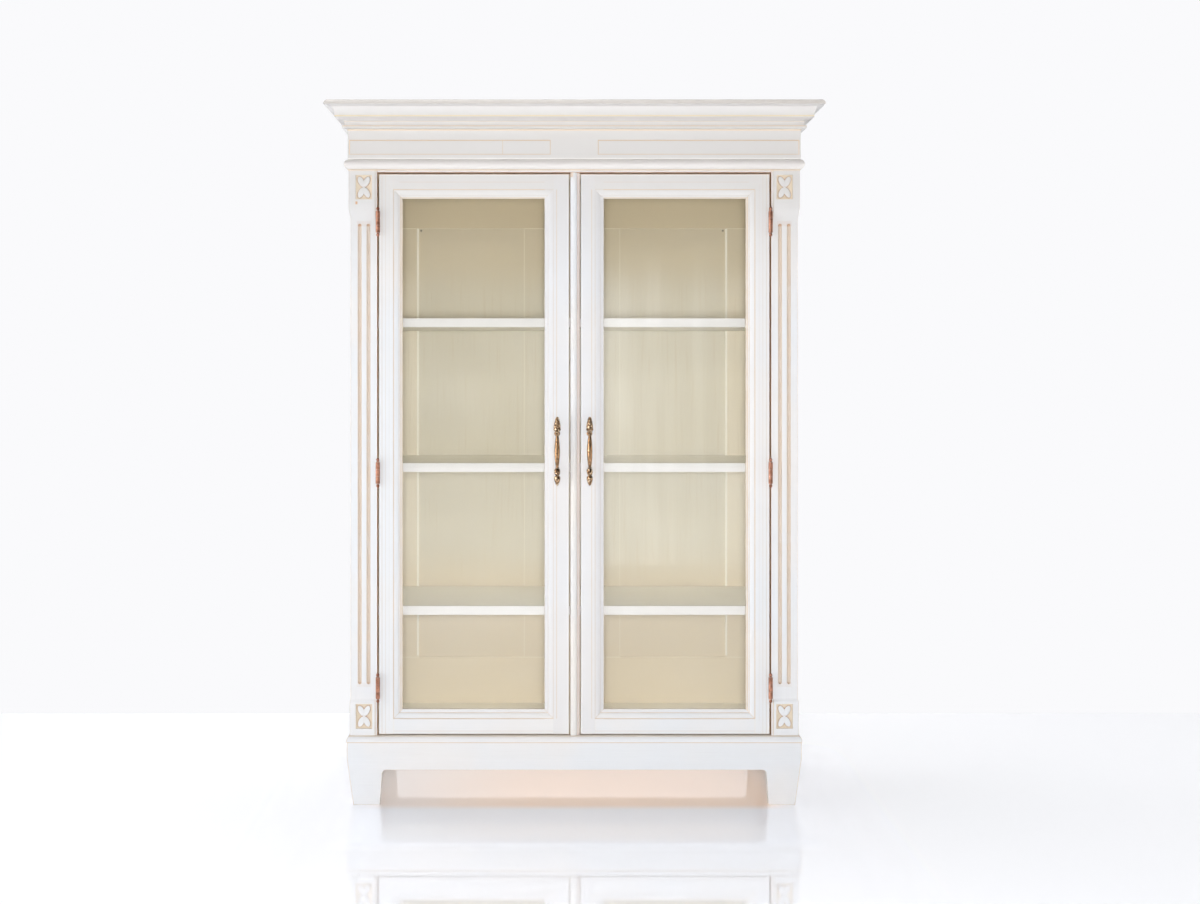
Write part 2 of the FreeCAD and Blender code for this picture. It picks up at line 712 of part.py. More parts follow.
def pilaster(side):
    """Pilaster: shaft with two flutes, proud top and bottom blocks with curved ends, sunk tiles."""
    body = new_body(f"pilaster_{side}")
    shaft = sketch_on(body, "XZ_Plane", "-frame_back")
    outline(shaft, rectangle(span(side, "opening_half", "body_half"), ("base_height", "frame_top")))
    pad(body, shaft, "frame_thick")
    blocks = (
        ("bead_bottom", "block_bottom", "ogee_height", "block_out", minus("ogee_height")),
        ("base_height", "plinth_top", "plinth_curve", "plinth_out", "plinth_curve"),
    )
    for number, (far, near, curve, proud, way) in enumerate(blocks):
        middle = f"{near} + ({way}) / 2"
        end = f"{near} + {way}"
        turn = 1 if number else -1
        half = f"body_half + {proud} / 2"
        points = [
            ("opening_half + block_inset", far),
            (f"body_half + {proud}", far),
            (f"body_half + {proud}", near),
            (half, middle, turn, "y", near),
            ("body_half", end, -turn, "y", end),
            ("opening_half + block_inset", end),
        ]
        front = sketch_on(body, "XZ_Plane", "-frame_back")
        outline(front, side_outline(side, points))
        pad(body, front, f"frame_thick + {proud}")
        waste_far = f"{end} - cut_over" if number == 0 else f"{end} + cut_over"
        waste = [
            (f"face_y - {proud}", near),
            (f"face_y - {proud} / 2", middle, -turn, "y", near),
            ("face_y", end, turn, "y", end),
            ("face_y", waste_far),
            (f"face_y - {proud} - cut_over", waste_far),
            (f"face_y - {proud} - cut_over", near),
        ]
        curve_cut = sketch_on(body, "YZ_Plane")
        outline(curve_cut, waste)
        pocket(body, curve_cut)
        recess = sketch_on(body, "XZ_Plane", f"-face_y + {proud}")
        level = "tile_base_z" if number else "tile_top_z"
        outline(recess, rectangle(
            span(side, "tile_x - tile_width / 2", "tile_x + tile_width / 2"),
            (f"{level} - tile_height / 2", f"{level} + tile_height / 2")))
        pocket(body, recess, "tile_sink")
    for shift in ("-flute_pitch / 2", "flute_pitch / 2"):
        flute(body, side, shift)
    return body


def flute(body, side, shift):
    """Cut one round-bottomed flute with round ends."""
    sketch = sketch_on(body, "XZ_Plane", "-face_y")
    sketch.setExpression("AttachmentOffset.Base.x", bound(mirrored(side, f"tile_x + {shift}")))
    outline(sketch, [
        ("0", "flute_bottom"),
        ("flute_radius", "flute_bottom + flute_radius", 1, "x", "0"),
        ("flute_radius", "flute_top - flute_radius"),
        ("0", "flute_top", 1, "x", "0"),
    ])
    revolve(body, sketch, "Groove")


def carved_tiles():
    """Four carved tiles: a thin ground, four pointed petals on the diagonals and a middle boss."""
    tiles = []
    for side in ("left", "right"):
        for level, proud in (("tile_top_z", "block_out"), ("tile_base_z", "plinth_out")):
            tiles.append(carved_tile(side, level, proud))
    group("carved_tiles", tiles)


def carved_tile(side, level, proud):
    """One carved tile in its recess."""
    body = DOC.addObject("PartDesign::Body", "tile")
    ground = sketch_on(body, "XZ_Plane")
    half_width = "tile_width / 2 - tile_play"
    half_height = "tile_height / 2 - tile_play"
    outline(ground, rectangle((minus(half_width), half_width), (minus(half_height), half_height)))
    pad(body, ground, "tile_plate")
    lean = math.degrees(math.atan2(value_of("tile_height"), value_of("tile_width")))
    for angle in (lean, 180 - lean, 180 + lean, -lean):
        petal = sketch_on(body, "XZ_Plane")
        petal.AttachmentOffset = FreeCAD.Placement(
            FreeCAD.Vector(), FreeCAD.Rotation(FreeCAD.Vector(0, 0, 1), angle))
        outline(petal, [
            ("petal_start", "0"),
            ("petal_wide", "-petal_width / 2"),
            ("petal_end", "0"),
            ("petal_wide", "petal_width / 2"),
        ])
        pad(body, petal, "tile_plate + petal_rise")
    boss = sketch_on(body, "XZ_Plane")
    round_spot(boss, ("0", "0"), "boss_radius")
    pad(body, boss, "tile_plate + petal_rise")
    put(body, (mirrored(side, "tile_x"), f"face_y - {proud} + tile_sink", level))
    return body


def centre_post():
    """Centre post: rounded bead with a sunk flat on its right."""
    body = new_body("centre_post")
    plan = sketch_on(body, "XY_Plane", "base_height")
    bead_right = "post_middle + post_bead_width / 2"
    shoulder = "face_y + post_bead_rise"
    outline(plan, [
        ("post_left", "frame_back"),
        ("post_left", shoulder),
        (bead_right, shoulder, 1, "y", "face_y - post_bead_rise + post_bead_bow"),
        (bead_right, "face_y + post_flat_sink"),
        ("post_right", "face_y + post_flat_sink"),
        ("post_right", "frame_back"),
    ])
    pad(body, plan, "rail_bottom - base_height")


# Doors

def door(side):
    """One glazed door: four moulded members, glass, glazing beads, handle, leaves and strike."""
    meeting = f"meeting_{side}"
    inner_width = f"glass_inner - {meeting}"
    heights = ("door_bottom", "door_top")
    stile(side, "hinge_stile", "stile_width", ("glass_outer", 1), heights)
    stile(side, "meeting_stile", inner_width, ("glass_inner", -1), heights)
    rail(side, "top_rail", out_from("glass_top"))
    rail(side, "bottom_rail", out_from("glass_bottom", -1))
    lap = "(glass_lap - glass_play)"
    edge = (f"glass_inner - {lap}", f"glass_outer + {lap}")
    tall = (f"glass_bottom - {lap}", f"glass_top + {lap}")
    front = "door_face + glass_seat"
    back = f"{front} + glass_thick"
    board(f"{side}_door_glass", span(side, *edge), (front, back), tall)
    glazing_beads(side, (back, "door_back"))
    handle(side)
    across = span(side, "catch_from_middle", "catch_from_middle + catch_width")
    board(f"{side}_door_strike", across, ("door_back", "door_back + strike_thick"),
          ("ceiling - catch_height", "ceiling"))


def stick(width):
    """Return the section of a door member: out from the glass's edge, and back from the face."""
    round_end = "mould_width - mould_round_width"
    return [
        (width, "door_edge_radius"),
        (f"{width} - door_edge_radius", "0", -1, "y", "door_edge_radius"),
        ("mould_width", "0"),
        ("mould_width", "mould_quirk"),
        (round_end, "mould_quirk + mould_round_drop", -1, "x", "mould_width"),
        (round_end, "mould_low"),
        ("0", "mould_low + mould_slope_drop"),
        ("0", "glass_seat"),
        ("glass_lap", "glass_seat"),
        ("glass_lap", "door_thick"),
        (width, "door_thick"),
    ]


def stile(side, name, width, edge, heights):
    """Make a full-height stile, its moulding mitred to the rails.

    edge is where the glass begins and the way from there to the stile's outer edge.
    """
    body = new_body(f"{side}_door_{name}")
    out = out_from(*edge)
    plan = sketch_on(body, "XY_Plane", heights[0])
    section = laid(stick(width), out, out_from("door_face"), mirror=edge[1] < 0)
    outline(plan, side_outline(side, section))
    pad(body, plan, f"{heights[1]} - ({heights[0]})")
    for up, beyond in ((out_from("glass_top"), "door_top + cut_over"),
                       (out_from("glass_bottom", -1), "door_bottom - cut_over")):
        waste = [
            (out("0"), up("0")),
            (out("mould_width"), up("mould_width")),
            (out("mould_width"), beyond),
            (out("-cut_over"), beyond),
            (out("-cut_over"), up("0")),
        ]
        face = sketch_on(body, "XZ_Plane")
        outline(face, side_outline(side, waste))
        pocket(body, face)


def rail(side, name, up):
    """Make a rail between the stiles, its moulding mitred to theirs."""
    body = new_body(f"{side}_door_{name}")
    start, end = span(side, "glass_inner - mould_width", "glass_outer + mould_width")
    profile = sketch_on(body, "YZ_Plane", start)
    downwards = name == "bottom_rail"
    outline(profile, laid(stick("door_rail_width"), up, out_from("door_face"), mirror=downwards, swap=True))
    pad(body, profile, f"{end} - ({start})")
    for out in (out_from("glass_outer"), out_from("glass_inner", -1)):
        waste = [
            (out("0"), up("0")),
            (out("mould_width"), up("mould_width")),
            (out("mould_width + cut_over"), up("mould_width")),
            (out("mould_width + cut_over"), up("-cut_over")),
            (out("0"), up("-cut_over")),
        ]
        face = sketch_on(body, "XZ_Plane")
        outline(face, side_outline(side, waste))
        pocket(body, face)


def glazing_beads(side, along):
    """Four beads that hold the glass in its rebate from behind."""
    strips = []
    tall = ("glass_bottom - glass_lap", "glass_top + glass_lap")
    for across in (("glass_outer + glass_play", "glass_outer + glass_lap"),
                   ("glass_inner - glass_lap", "glass_inner - glass_play")):
        strips.append(box("bead", span(side, *across), along, tall))
    between = span(side, "glass_inner - glass_play", "glass_outer + glass_play")
    for up in (("glass_top + glass_play", "glass_top + glass_lap"),
               ("glass_bottom - glass_lap", "glass_bottom - glass_play")):
        strips.append(box("bead", between, along, up))
    group(f"{side}_door_glazing_beads", strips)


def handle(side):
    """Cast pull: turned grip with rings and finials, on two posts with roses."""
    across = f"handle_{side}"
    axis = (across, "door_face - handle_out", "handle_middle")
    upper = "grip_half + ring_height"
    lower = "-(grip_half + knob_height)"
    grip = turned("grip", axis, [
        ("tip_radius", f"{lower} - drop_height"),
        ("drop_radius", f"{lower} - drop_height * bud_wide_share"),
        ("grip_neck", lower),
        *swelling("-(grip_half + knob_height / 2)", "knob_height / 2", "ring_radius"),
        ("grip_neck", "-grip_half"),
        *swelling("0", "grip_half", "grip_radius"),
        ("grip_neck", "grip_half"),
        ("grip_neck", upper),
        ("bud_radius", f"{upper} + bud_height * bud_wide_share"),
        ("tip_radius", f"{upper} + bud_height"),
    ])
    ring = turned("ring", axis, [("ring_radius", "grip_half"), ("ring_radius", upper)])
    shapes = [grip, ring]
    for level in ("grip_half + ring_height / 2", "-(grip_half + knob_height / 2)"):
        height = f"handle_middle + {level}"
        for name, length in (("post", "handle_out"), ("rose", "rose_thick")):
            stud = cylinder(name, f"{name}_radius", length, (across, f"door_face - {length}", height))
            stud.Placement.Rotation = FreeCAD.Rotation(FreeCAD.Vector(1, 0, 0), -90)
            shapes.append(stud)
    keep(fused("handle", shapes), f"{side}_door_handle")


def swelling(middle, half, radius):
    """Return the straight middle of a swelling: its lower and its upper point."""
    return [(radius, f"{middle} - {half} * belt_share"), (radius, f"{middle} + {half} * belt_share")]


def round_spot(sketch, middle, radius):
    """Draw a circle with its middle and radius bound to the sheet."""
    centre = FreeCAD.Vector(value_of(middle[0]), value_of(middle[1]), 0)
    item = sketch.addGeometry(Part.Circle(centre, FreeCAD.Vector(0, 0, 1), value_of(radius)), False)
    fix(sketch, item, 3, *middle)
    number = sketch.addConstraint(Sketcher.Constraint("Radius", item, value_of(radius)))
    sketch.setExpression(f"Constraints[{number}]", bound(radius))


# Hinges and catches

def hinges():
    """Three barrel hinges a side: frame leaves with two knuckles, door leaves with one, and pins."""
    frame_leaves = []
    pins = []
    for side in ("left", "right"):
        door_leaves = []
        for level in ("hinge_upper", "hinge_middle", "hinge_lower"):
            frame_leaves.append(leaf(side, level, "frame"))
            door_leaves.append(leaf(side, level, "door"))
            pins.append(hinge_pin(side, level))
        group(f"{side}_door_hinge_leaves", door_leaves)
    group("hinge_frame_leaves", frame_leaves)
    group("hinge_pins", pins)


def leaf(side, level, part):
    """One hinge leaf with its knuckles, bored for the pin and clear of the other leaf's knuckles."""
    axis = (mirrored(side, "hinge_x"), "hinge_y")
    whole = (f"{level} - barrel_half", f"{level} + barrel_half")
    outer = "knuckle_length / 2 + knuckle_gap"
    if part == "frame":
        across = span(side, "opening_half - leaf_thick", "opening_half")
        knuckles = [f"{level} - barrel_half", f"{level} + {outer}"]
        clear = [(f"{level} - ({outer})", f"{level} + {outer}")]
    else:
        across = span(side, "door_outer", "door_outer + leaf_thick")
        knuckles = [f"{level} - knuckle_length / 2"]
        clear = [(f"{level} - barrel_half - cut_over", f"{level} - knuckle_length / 2"),
                 (f"{level} + knuckle_length / 2", f"{level} + barrel_half + cut_over")]
    plate = box("plate", across, ("hinge_y", "face_y + leaf_depth"), whole)
    wide = span(side, "door_outer - cut_over", "opening_half + cut_over")
    deep = ("hinge_y - cut_over", "hinge_y + knuckle_radius + leaf_relief")
    for notch in clear:
        plate = cut("plate_clear", plate, box("notch", wide, deep, notch))
    barrel = [("knuckle_radius", "0"), ("knuckle_radius", "knuckle_length")]
    barrels = [turned("knuckle", (*axis, low), barrel) for low in knuckles]
    bore = cylinder("bore", "pin_radius + pin_play", "2 * (barrel_half + cut_over)",
                    (*axis, f"{level} - barrel_half - cut_over"))
    return cut("leaf_bored", fused("leaf", [plate, *barrels]), bore)


def hinge_pin(side, level):
    """Hinge pin in one with a pointed finial at each end."""
    axis = (mirrored(side, "hinge_x"), "hinge_y")
    finial_end = "barrel_half + finial_height"
    shaft = cylinder("shaft", "pin_radius", "2 * barrel_half", (*axis, f"{level} - barrel_half"))
    top = turned("finial", (*axis, level), [("finial_foot", "barrel_half"), ("finial_tip", finial_end)])
    foot = turned("finial", (*axis, level), [("finial_tip", minus(finial_end)), ("finial_foot", "-barrel_half")])
    return fused("hinge_pin", [shaft, top, foot])


def catches():
    """Two magnetic catches under the top board, one behind each door."""
    bodies = []
    front = "door_back + strike_thick + strike_gap"
    for side in ("left", "right"):
        across = span(side, "catch_from_middle", "catch_from_middle + catch_width")
        bodies.append(box("catch", across, (front, f"{front} + catch_depth"),
                          ("ceiling - catch_height", "ceiling")))
    group("door_catches", bodies)


def build():
    """Make every sub-part."""
    fill_sheet()
    crown()
    frieze()
    bead()
    base()
    carcass()
    framed_back()
    shelves()
    for side in ("left", "right"):
        pilaster(side)
    carved_tiles()
    centre_post()
    for side in ("left", "right"):
        door(side)
    hinges()
    catches()


def export():
    """Check every object, then write each sub-part to its own file."""
    DOC.recompute()
    for item in DOC.Objects:
        if "Invalid" in item.State or "Error" in item.State:
            raise RuntimeError(f"{item.Name} failed: {item.State}")
    for node in NODES:
        if node.Shape.isNull() or not node.Shape.isValid():
            raise RuntimeError(f"{node.Label} has no valid shape")
    os.makedirs("parts", exist_ok=True)
    for node in NODES:
        node.Shape.exportStep(f"parts/{node.Label}.step")
        box_size = node.Shape.BoundBox
        print(f"{node.Label}: {len(node.Shape.Solids)} solid(s), "
              f"{box_size.XLength:.1f} x {box_size.YLength:.1f} x {box_size.ZLength:.1f}")


build()
export()
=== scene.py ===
"""Looks of a display cabinet with two glazed doors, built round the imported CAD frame."""

import logging
import math
from dataclasses import dataclass
from enum import Enum
from typing import Any, Callable, Mapping, Sequence, Union

import bmesh
import bpy
from mathutils import Matrix, Vector


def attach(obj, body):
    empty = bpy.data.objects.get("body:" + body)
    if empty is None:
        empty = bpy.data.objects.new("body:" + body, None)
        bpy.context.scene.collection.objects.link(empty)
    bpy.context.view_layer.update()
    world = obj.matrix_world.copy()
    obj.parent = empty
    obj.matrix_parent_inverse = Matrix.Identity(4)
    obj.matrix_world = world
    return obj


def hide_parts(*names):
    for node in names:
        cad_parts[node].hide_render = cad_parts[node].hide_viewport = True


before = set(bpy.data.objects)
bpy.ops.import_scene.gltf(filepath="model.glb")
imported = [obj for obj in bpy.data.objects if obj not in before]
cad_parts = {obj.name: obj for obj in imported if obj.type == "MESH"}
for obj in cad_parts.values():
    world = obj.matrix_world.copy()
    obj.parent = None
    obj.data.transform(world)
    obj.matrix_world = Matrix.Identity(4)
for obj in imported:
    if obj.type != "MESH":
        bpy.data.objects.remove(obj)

LOG = logging.getLogger("cabinet")
MM = 0.001

Triple = tuple[float, float, float]
Colour = tuple[float, float, float, float]
Profile = Sequence[tuple[float, float]]
Piece = bpy.types.Object
Coat = bpy.types.Material


def tone(red: int, green: int, blue: int) -> Colour:
    """Turn a colour as seen on a screen into linear light.

    Args:
        red: Red from 0 to 255.
        green: Green from 0 to 255.
        blue: Blue from 0 to 255.

    Returns:
        The colour with an alpha of 1.
    """
    parts = [part / 255 for part in (red, green, blue)]
    light = [part / 12.92 if part <= 0.04045 else ((part + 0.055) / 1.055) ** 2.4 for part in parts]
    return (light[0], light[1], light[2], 1.0)


class Way(Enum):
    """A direction of the cabinet, also the way that a board's grain and brush strokes run."""

    ACROSS = 0
    DEEP = 1
    UP = 2

    def drawn(self, factor: float) -> Triple:
        """Scales that draw noise out into streaks along this way."""
        return tuple(factor if number == self.value else 1.0 for number in range(3))


class Side(Enum):
    """Which door or pilaster, seen from the front."""

    LEFT = -1
    RIGHT = 1

    @property
    def word(self) -> str:
        """The side's name as the nodes spell it."""
        return self.name.lower()

    @property
    def pull_x(self) -> float:
        """The middle of this door's pull, in millimetres."""
        return -48.5 if self is Side.LEFT else 43.5


# Past the cabinet on every side, in millimetres
ANY = 9000.0

# Rays by which a finish feels edges and hollows, and how strongly paint bends light
FEELERS = 6
PAINT_BEND = 1.47

# The sharpest angle that is still shaded smooth on turned, cast and carved pieces, in degrees
TURNED = 45.0
CAST = 60.0
CARVED = 50.0

# Tints that several finishes share
WHITE = (1.0, 1.0, 1.0, 1.0)
RUB = tone(206, 182, 150)
GLAZE = tone(206, 180, 148)
GAP = tone(180, 136, 102)
# Faint lines of painted shade along shallow mouldings that are not modelled
FAINT_SHADE = tone(204, 190, 174)
FLUTE_END = tone(188, 146, 112)


# Shader sockets


class Channel:
    """A shader socket on which Python arithmetic adds Math nodes."""

    def __init__(self, pot: "Pot", socket: bpy.types.NodeSocket) -> None:
        """Keep the socket and the material that it belongs to."""
        self.pot = pot
        self.socket = socket

    def math(self, operation: str, *values: Any) -> "Channel":
        """Add one Math node on the given values."""
        return self.pot.node("ShaderNodeMath", {"operation": operation}, dict(enumerate(values)))

    def __add__(self, other: Any) -> "Channel":
        """This plus other."""
        return self.math("ADD", self, other)

    __radd__ = __add__

    def __mul__(self, other: Any) -> "Channel":
        """This times other."""
        return self.math("MULTIPLY", self, other)

    __rmul__ = __mul__

    def __sub__(self, other: Any) -> "Channel":
        """This less other."""
        return self.math("SUBTRACT", self, other)

    def __rsub__(self, other: Any) -> "Channel":
        """Other less this."""
        return self.math("SUBTRACT", other, self)

    def __abs__(self) -> "Channel":
        """This without its sign."""
        return self.math("ABSOLUTE", self)

    def highest(self, other: Any) -> "Channel":
        """The larger of this and other."""
        return self.math("MAXIMUM", self, other)


Amount = Union[float, Channel]


class Pot:
    """One material, or the world, whose nodes are being mixed."""

    def __init__(self, name: str, owner: Any = None) -> None:
        """Open a new material, or empty the nodes of the owner given.

        Args:
            name: The new material's name.
            owner: A world to be mixed instead of a new material.
        """
        self.owner = owner or bpy.data.materials.new(name)
        self.owner.use_nodes = True
        self.tree = self.owner.node_tree
        self.tree.nodes.clear()

    def node(self, kind: str, settings: Mapping[str, Any] | None = None,
             inputs: Mapping[Any, Any] | None = None, output: Any = 0) -> Channel:
        """Add a node: its settings first, then the values or links of its sockets.

        Args:
            kind: The node's type.
            settings: Properties of the node.
            inputs: Values or channels by socket name or number.
            output: The output socket wanted.

        Returns:
            The output as a channel.
        """
        made = self.tree.nodes.new(kind)
        for name, value in (settings or {}).items():
            setattr(made, name, value)
        for key, value in (inputs or {}).items():
            if isinstance(value, Channel):
                self.tree.links.new(value.socket, made.inputs[key])
            else:
                made.inputs[key].default_value = value
        return Channel(self, made.outputs[output])

    def place(self) -> Channel:
        """The point on the surface in the cabinet's frame, in metres."""
        return self.node("ShaderNodeTexCoord", output="Object")

    def parts(self, vector: Channel) -> tuple[Channel, Channel, Channel]:
        """Split a vector.

        Args:
            vector: The vector, such as a place.

        Returns:
            Its X, Y and Z.
        """
        first = self.node("ShaderNodeSeparateXYZ", inputs={0: vector}, output=0)
        outs = first.socket.node.outputs
        return first, Channel(self, outs[1]), Channel(self, outs[2])

    def rise(self, value: Amount, low: float, high: float) -> Channel:
        """Go smoothly from 0 at low to 1 at high, also where low is the larger.

        Args:
            value: The value that runs between the ends.
            low: Where the result is 0.
            high: Where it is 1.

        Returns:
            The smooth step.
        """
        ends = (low, high, 0.0, 1.0) if low <= high else (high, low, 1.0, 0.0)
        return self.node("ShaderNodeMapRange", {"interpolation_type": "SMOOTHSTEP"},
                         {"Value": value, **dict(zip(("From Min", "From Max", "To Min", "To Max"), ends))})

    def band(self, value: Channel, low: float, high: float, soft: float) -> Channel:
        """1 between low and high, falling to 0 over soft on each side."""
        return self.rise(value, low - soft, low + soft) * self.rise(value, high + soft, high - soft)

    def noise(self, vector: Channel, scale: float, detail: float = 2.0, rough: float = 0.5) -> Channel:
        """Cloudy noise around 0.5."""
        return self.node("ShaderNodeTexNoise", {}, {"Vector": vector, "Scale": scale, "Detail": detail,
                                                    "Roughness": rough})

    def stretched(self, vector: Channel, scale: Triple) -> Channel:
        """The place scaled apart on each axis, for streaks."""
        return self.node("ShaderNodeMapping", {}, {"Vector": vector, "Scale": scale})

    def mix(self, amount: Amount, first: Any, second: Any) -> Channel:
        """Blend two colours by an amount."""
        return self.node("ShaderNodeMix", {"data_type": "RGBA", "clamp_factor": True},
                         {0: amount, 6: first, 7: second}, 2)

    def blend(self, amount: Amount, first: Channel, second: Channel) -> Channel:
        """Blend two shaders by an amount."""
        return self.node("ShaderNodeMixShader", {}, {0: amount, 1: first, 2: second})

    def glow(self, colour: Colour, strength: float) -> Channel:
        """A shader that shines by itself."""
        return self.node("ShaderNodeEmission", {}, {"Color": colour, "Strength": strength})

    def clear(self, tint: Colour) -> Channel:
        """A shader that lets light through."""
        return self.node("ShaderNodeBsdfTransparent", {}, {"Color": tint})

    def bump(self, height: Amount, strength: float, distance: float, under: Channel | None = None) -> Channel:
        """Turn a height into a surface normal."""
        base = {} if under is None else {"Normal": under}
        return self.node("ShaderNodeBump", {}, {"Height": height, "Strength": strength, "Distance": distance, **base})

    def edges(self, radius: float) -> Channel:
        """Feel for edges.

        Args:
            radius: How far an edge is felt, in metres.

        Returns:
            0 on flats, rising towards 0.3 at a right-angled edge.
        """
        soft = self.node("ShaderNodeBevel", {"samples": FEELERS}, {"Radius": radius})
        true = self.node("ShaderNodeNewGeometry", output="Normal")
        return 1.0 - self.node("ShaderNodeVectorMath", {"operation": "DOT_PRODUCT"}, {0: soft, 1: true}, "Value")

    def open_sky(self, distance: float) -> Channel:
        """1 on open faces, falling to 0 in the piece's own corners and hollows."""
        return self.node("ShaderNodeAmbientOcclusion", {"samples": FEELERS, "only_local": True},
                         {"Distance": distance}, "AO")

    def surface(self, shader: Channel) -> Any:
        """Connect the shader to the output.

        Args:
            shader: The finished shader.

        Returns:
            The finished material or world.
        """
        kind = "World" if isinstance(self.owner, bpy.types.World) else "Material"
        out = self.tree.nodes.new(f"ShaderNodeOutput{kind}")
        self.tree.links.new(shader.socket, out.inputs["Surface"])
        return self.owner

    def coat(self, colour: Channel, rough: Channel, normal: Channel, **plain: float) -> Coat:
        """Finish with the common shader; plain holds the sockets that are the same all over."""
        return self.surface(self.node("ShaderNodeBsdfPrincipled", {}, {
            "Base Color": colour, "Roughness": rough, "Normal": normal, **plain}))


# Finishes


@dataclass(frozen=True)
class Mark:
    """A patch of tint between two corners, in millimetres, for glaze, wear, gap colour, painted shade and painted
    highlights; X counts from the middle outwards.
    """

    low: Triple
    high: Triple
    tint: Colour
    strength: float = 0.8
    soft: float = 0.5
    mirrored: bool = True
    even: bool = False

    @classmethod
    def line(cls, low: float, high: float, tint: Colour, strength: float, soft: float, even: bool = True) -> "Mark":
        """A line round the whole piece between two heights."""
        return cls((-ANY, -ANY, low), (ANY, ANY, high), tint, strength, soft, even=even)

    def mask(self, pot: Pot, place: tuple[Channel, Channel, Channel]) -> Channel:
        """How much of the patch covers a point.

        Args:
            pot: The material being mixed.
            place: The point's three parts.

        Returns:
            The mask, up to the patch's strength.
        """
        cover: Amount = self.strength
        for number, channel in enumerate(place):
            low, high = self.low[number], self.high[number]
            if low == -ANY and high == ANY:
                continue
            value = abs(channel) if number == 0 and self.mirrored else channel
            cover = pot.band(value, low * MM, high * MM, self.soft * MM) * cover
        return cover


@dataclass(frozen=True)
class AntiquePaint:
    """Brushed white paint over a tan ground, rubbed along its edges and glazed in its hollows."""

    name: str
    grain: Way
    body: Colour = tone(221, 219, 218)
    cool: Colour = tone(217, 219, 222)
    rub: Colour = RUB
    glaze: Colour = GLAZE
    edge_width: float = 2.2
    edge_strength: float = 0.9
    hollow_reach: float = 7.0
    hollow_strength: float = 0.5
    strokes: float = 0.10
    thin: Colour = tone(203, 199, 195)
    thin_share: float = 0.16
    thick: Colour = tone(230, 229, 228)
    thick_share: float = 0.22
    drawn_out: float = 0.018
    streak_scale: float = 420.0
    fine_scale: float = 1300.0
    cloud_scale: float = 3.1
    patch_scale: float = 26.0
    sheen: float = 0.42
    marks: tuple[Mark, ...] = ()

    def mixed(self) -> Coat:
        """Mix the paint.

        Returns:
            The material.
        """
        pot = Pot(self.name)
        place = pot.place()
        parts = pot.parts(place)
        drawn = pot.stretched(place, self.grain.drawn(self.drawn_out))
        streaks = pot.noise(drawn, self.streak_scale, detail=3.0, rough=0.6)
        fine = pot.noise(drawn, self.fine_scale)
        clouds = pot.noise(place, self.cloud_scale, detail=3.0, rough=0.55)
        patches = pot.noise(place, self.patch_scale, detail=4.0, rough=0.6)
        colour = pot.mix(pot.rise(clouds, 0.35, 0.65), self.body, self.cool)
        colour = pot.mix(pot.rise(streaks, 0.52, 0.8) * self.thin_share, colour, self.thin)
        colour = pot.mix(pot.rise(streaks, 0.47, 0.2) * self.thick_share, colour, self.thick)
        hollow = pot.rise(pot.open_sky(self.hollow_reach * MM), 0.93, 0.55)
        broken = pot.rise(patches, 0.28, 0.58) * 0.25 + 0.75
        colour = pot.mix(hollow * broken * self.hollow_strength, colour, self.glaze)
        edge = pot.rise(pot.edges(self.edge_width * MM), 0.01, 0.08)
        worn = edge * (pot.rise(streaks + patches * 0.6, 0.42, 0.9) * 0.7 + 0.3) * self.edge_strength
        colour = pot.mix(worn, colour, self.rub)
        for mark in self.marks:
            cover = mark.mask(pot, parts)
            colour = pot.mix(cover if mark.even else cover * broken, colour, mark.tint)
        normal = pot.bump(streaks * 0.7 + fine * 0.3, self.strokes, 0.4 * MM)
        normal = pot.bump(patches, self.strokes * 0.2, 1.0 * MM, normal)
        return pot.coat(colour, self.sheen + fine * 0.16 + worn * 0.18, normal, IOR=PAINT_BEND)


@dataclass(frozen=True)
class InsidePaint:
    """Warm cream paint of the bays, laid on thinly over the boards' grain."""

    name: str
    grain: Way
    body: Colour = tone(240, 232, 212)
    deep: Colour = tone(235, 226, 203)
    hollow: Colour = tone(198, 176, 138)
    # edge is a painted highlight along the edges
    edge: Colour = tone(252, 247, 232)
    # Painted shade at the top of the bays and in the lowest bay
    smoke: Colour = tone(212, 198, 170)
    smoke_from: float = 1.52
    low: Colour = tone(232, 218, 195)
    low_shade_below: float = 0.62
    front_edge: float | None = None
    front: Colour = tone(231, 227, 226)
    nose: tuple[float, float] = (0.010, 0.002)
    drawn_out: float = 0.02
    streak_scale: float = 260.0
    cloud_scale: float = 2.3
    hollow_reach: float = 6.0
    edge_width: float = 2.4
    marks: tuple[Mark, ...] = ()

    def mixed(self) -> Coat:
        """Mix the paint.

        Returns:
            The material.
        """
        pot = Pot(self.name)
        place = pot.place()
        parts = pot.parts(place)
        deep, level = parts[1:]
        drawn = pot.stretched(place, self.grain.drawn(self.drawn_out))
        streaks = pot.noise(drawn, self.streak_scale, detail=4.0, rough=0.6)
        clouds = pot.noise(place, self.cloud_scale)
        colour = pot.mix(pot.rise(clouds, 0.3, 0.7), self.body, self.deep)
        colour = pot.mix(pot.rise(streaks, 0.5, 0.85) * 0.3, colour, self.hollow)
        colour = pot.mix(pot.rise(pot.open_sky(self.hollow_reach * MM), 0.93, 0.6) * 0.5, colour, self.hollow)
        # Painted shade: darker above smoke_from, where less light reaches the top bay.
        colour = pot.mix(pot.rise(level, self.smoke_from - 0.08, self.smoke_from + 0.08) * 0.75, colour, self.smoke)
        # Painted shade: darker and warmer below low_shade_below, dimming the lowest bay.
        colour = pot.mix(pot.rise(level, self.low_shade_below + 0.1, self.low_shade_below - 0.1) * 0.8, colour, self.low)
        # Painted highlight: lighter along the edges, where they would catch the light.
        colour = pot.mix(pot.rise(pot.edges(self.edge_width * MM), 0.01, 0.10) * 0.8, colour, self.edge)
        for mark in self.marks:
            colour = pot.mix(mark.mask(pot, parts), colour, mark.tint)
        if self.front_edge is not None:
            nosing = pot.rise(deep, *(self.front_edge + behind for behind in self.nose))
            colour = pot.mix(nosing * 0.95, colour, self.front)
        return pot.coat(colour, 0.5 + streaks * 0.15, pot.bump(streaks, 0.12, 0.5 * MM), IOR=PAINT_BEND)


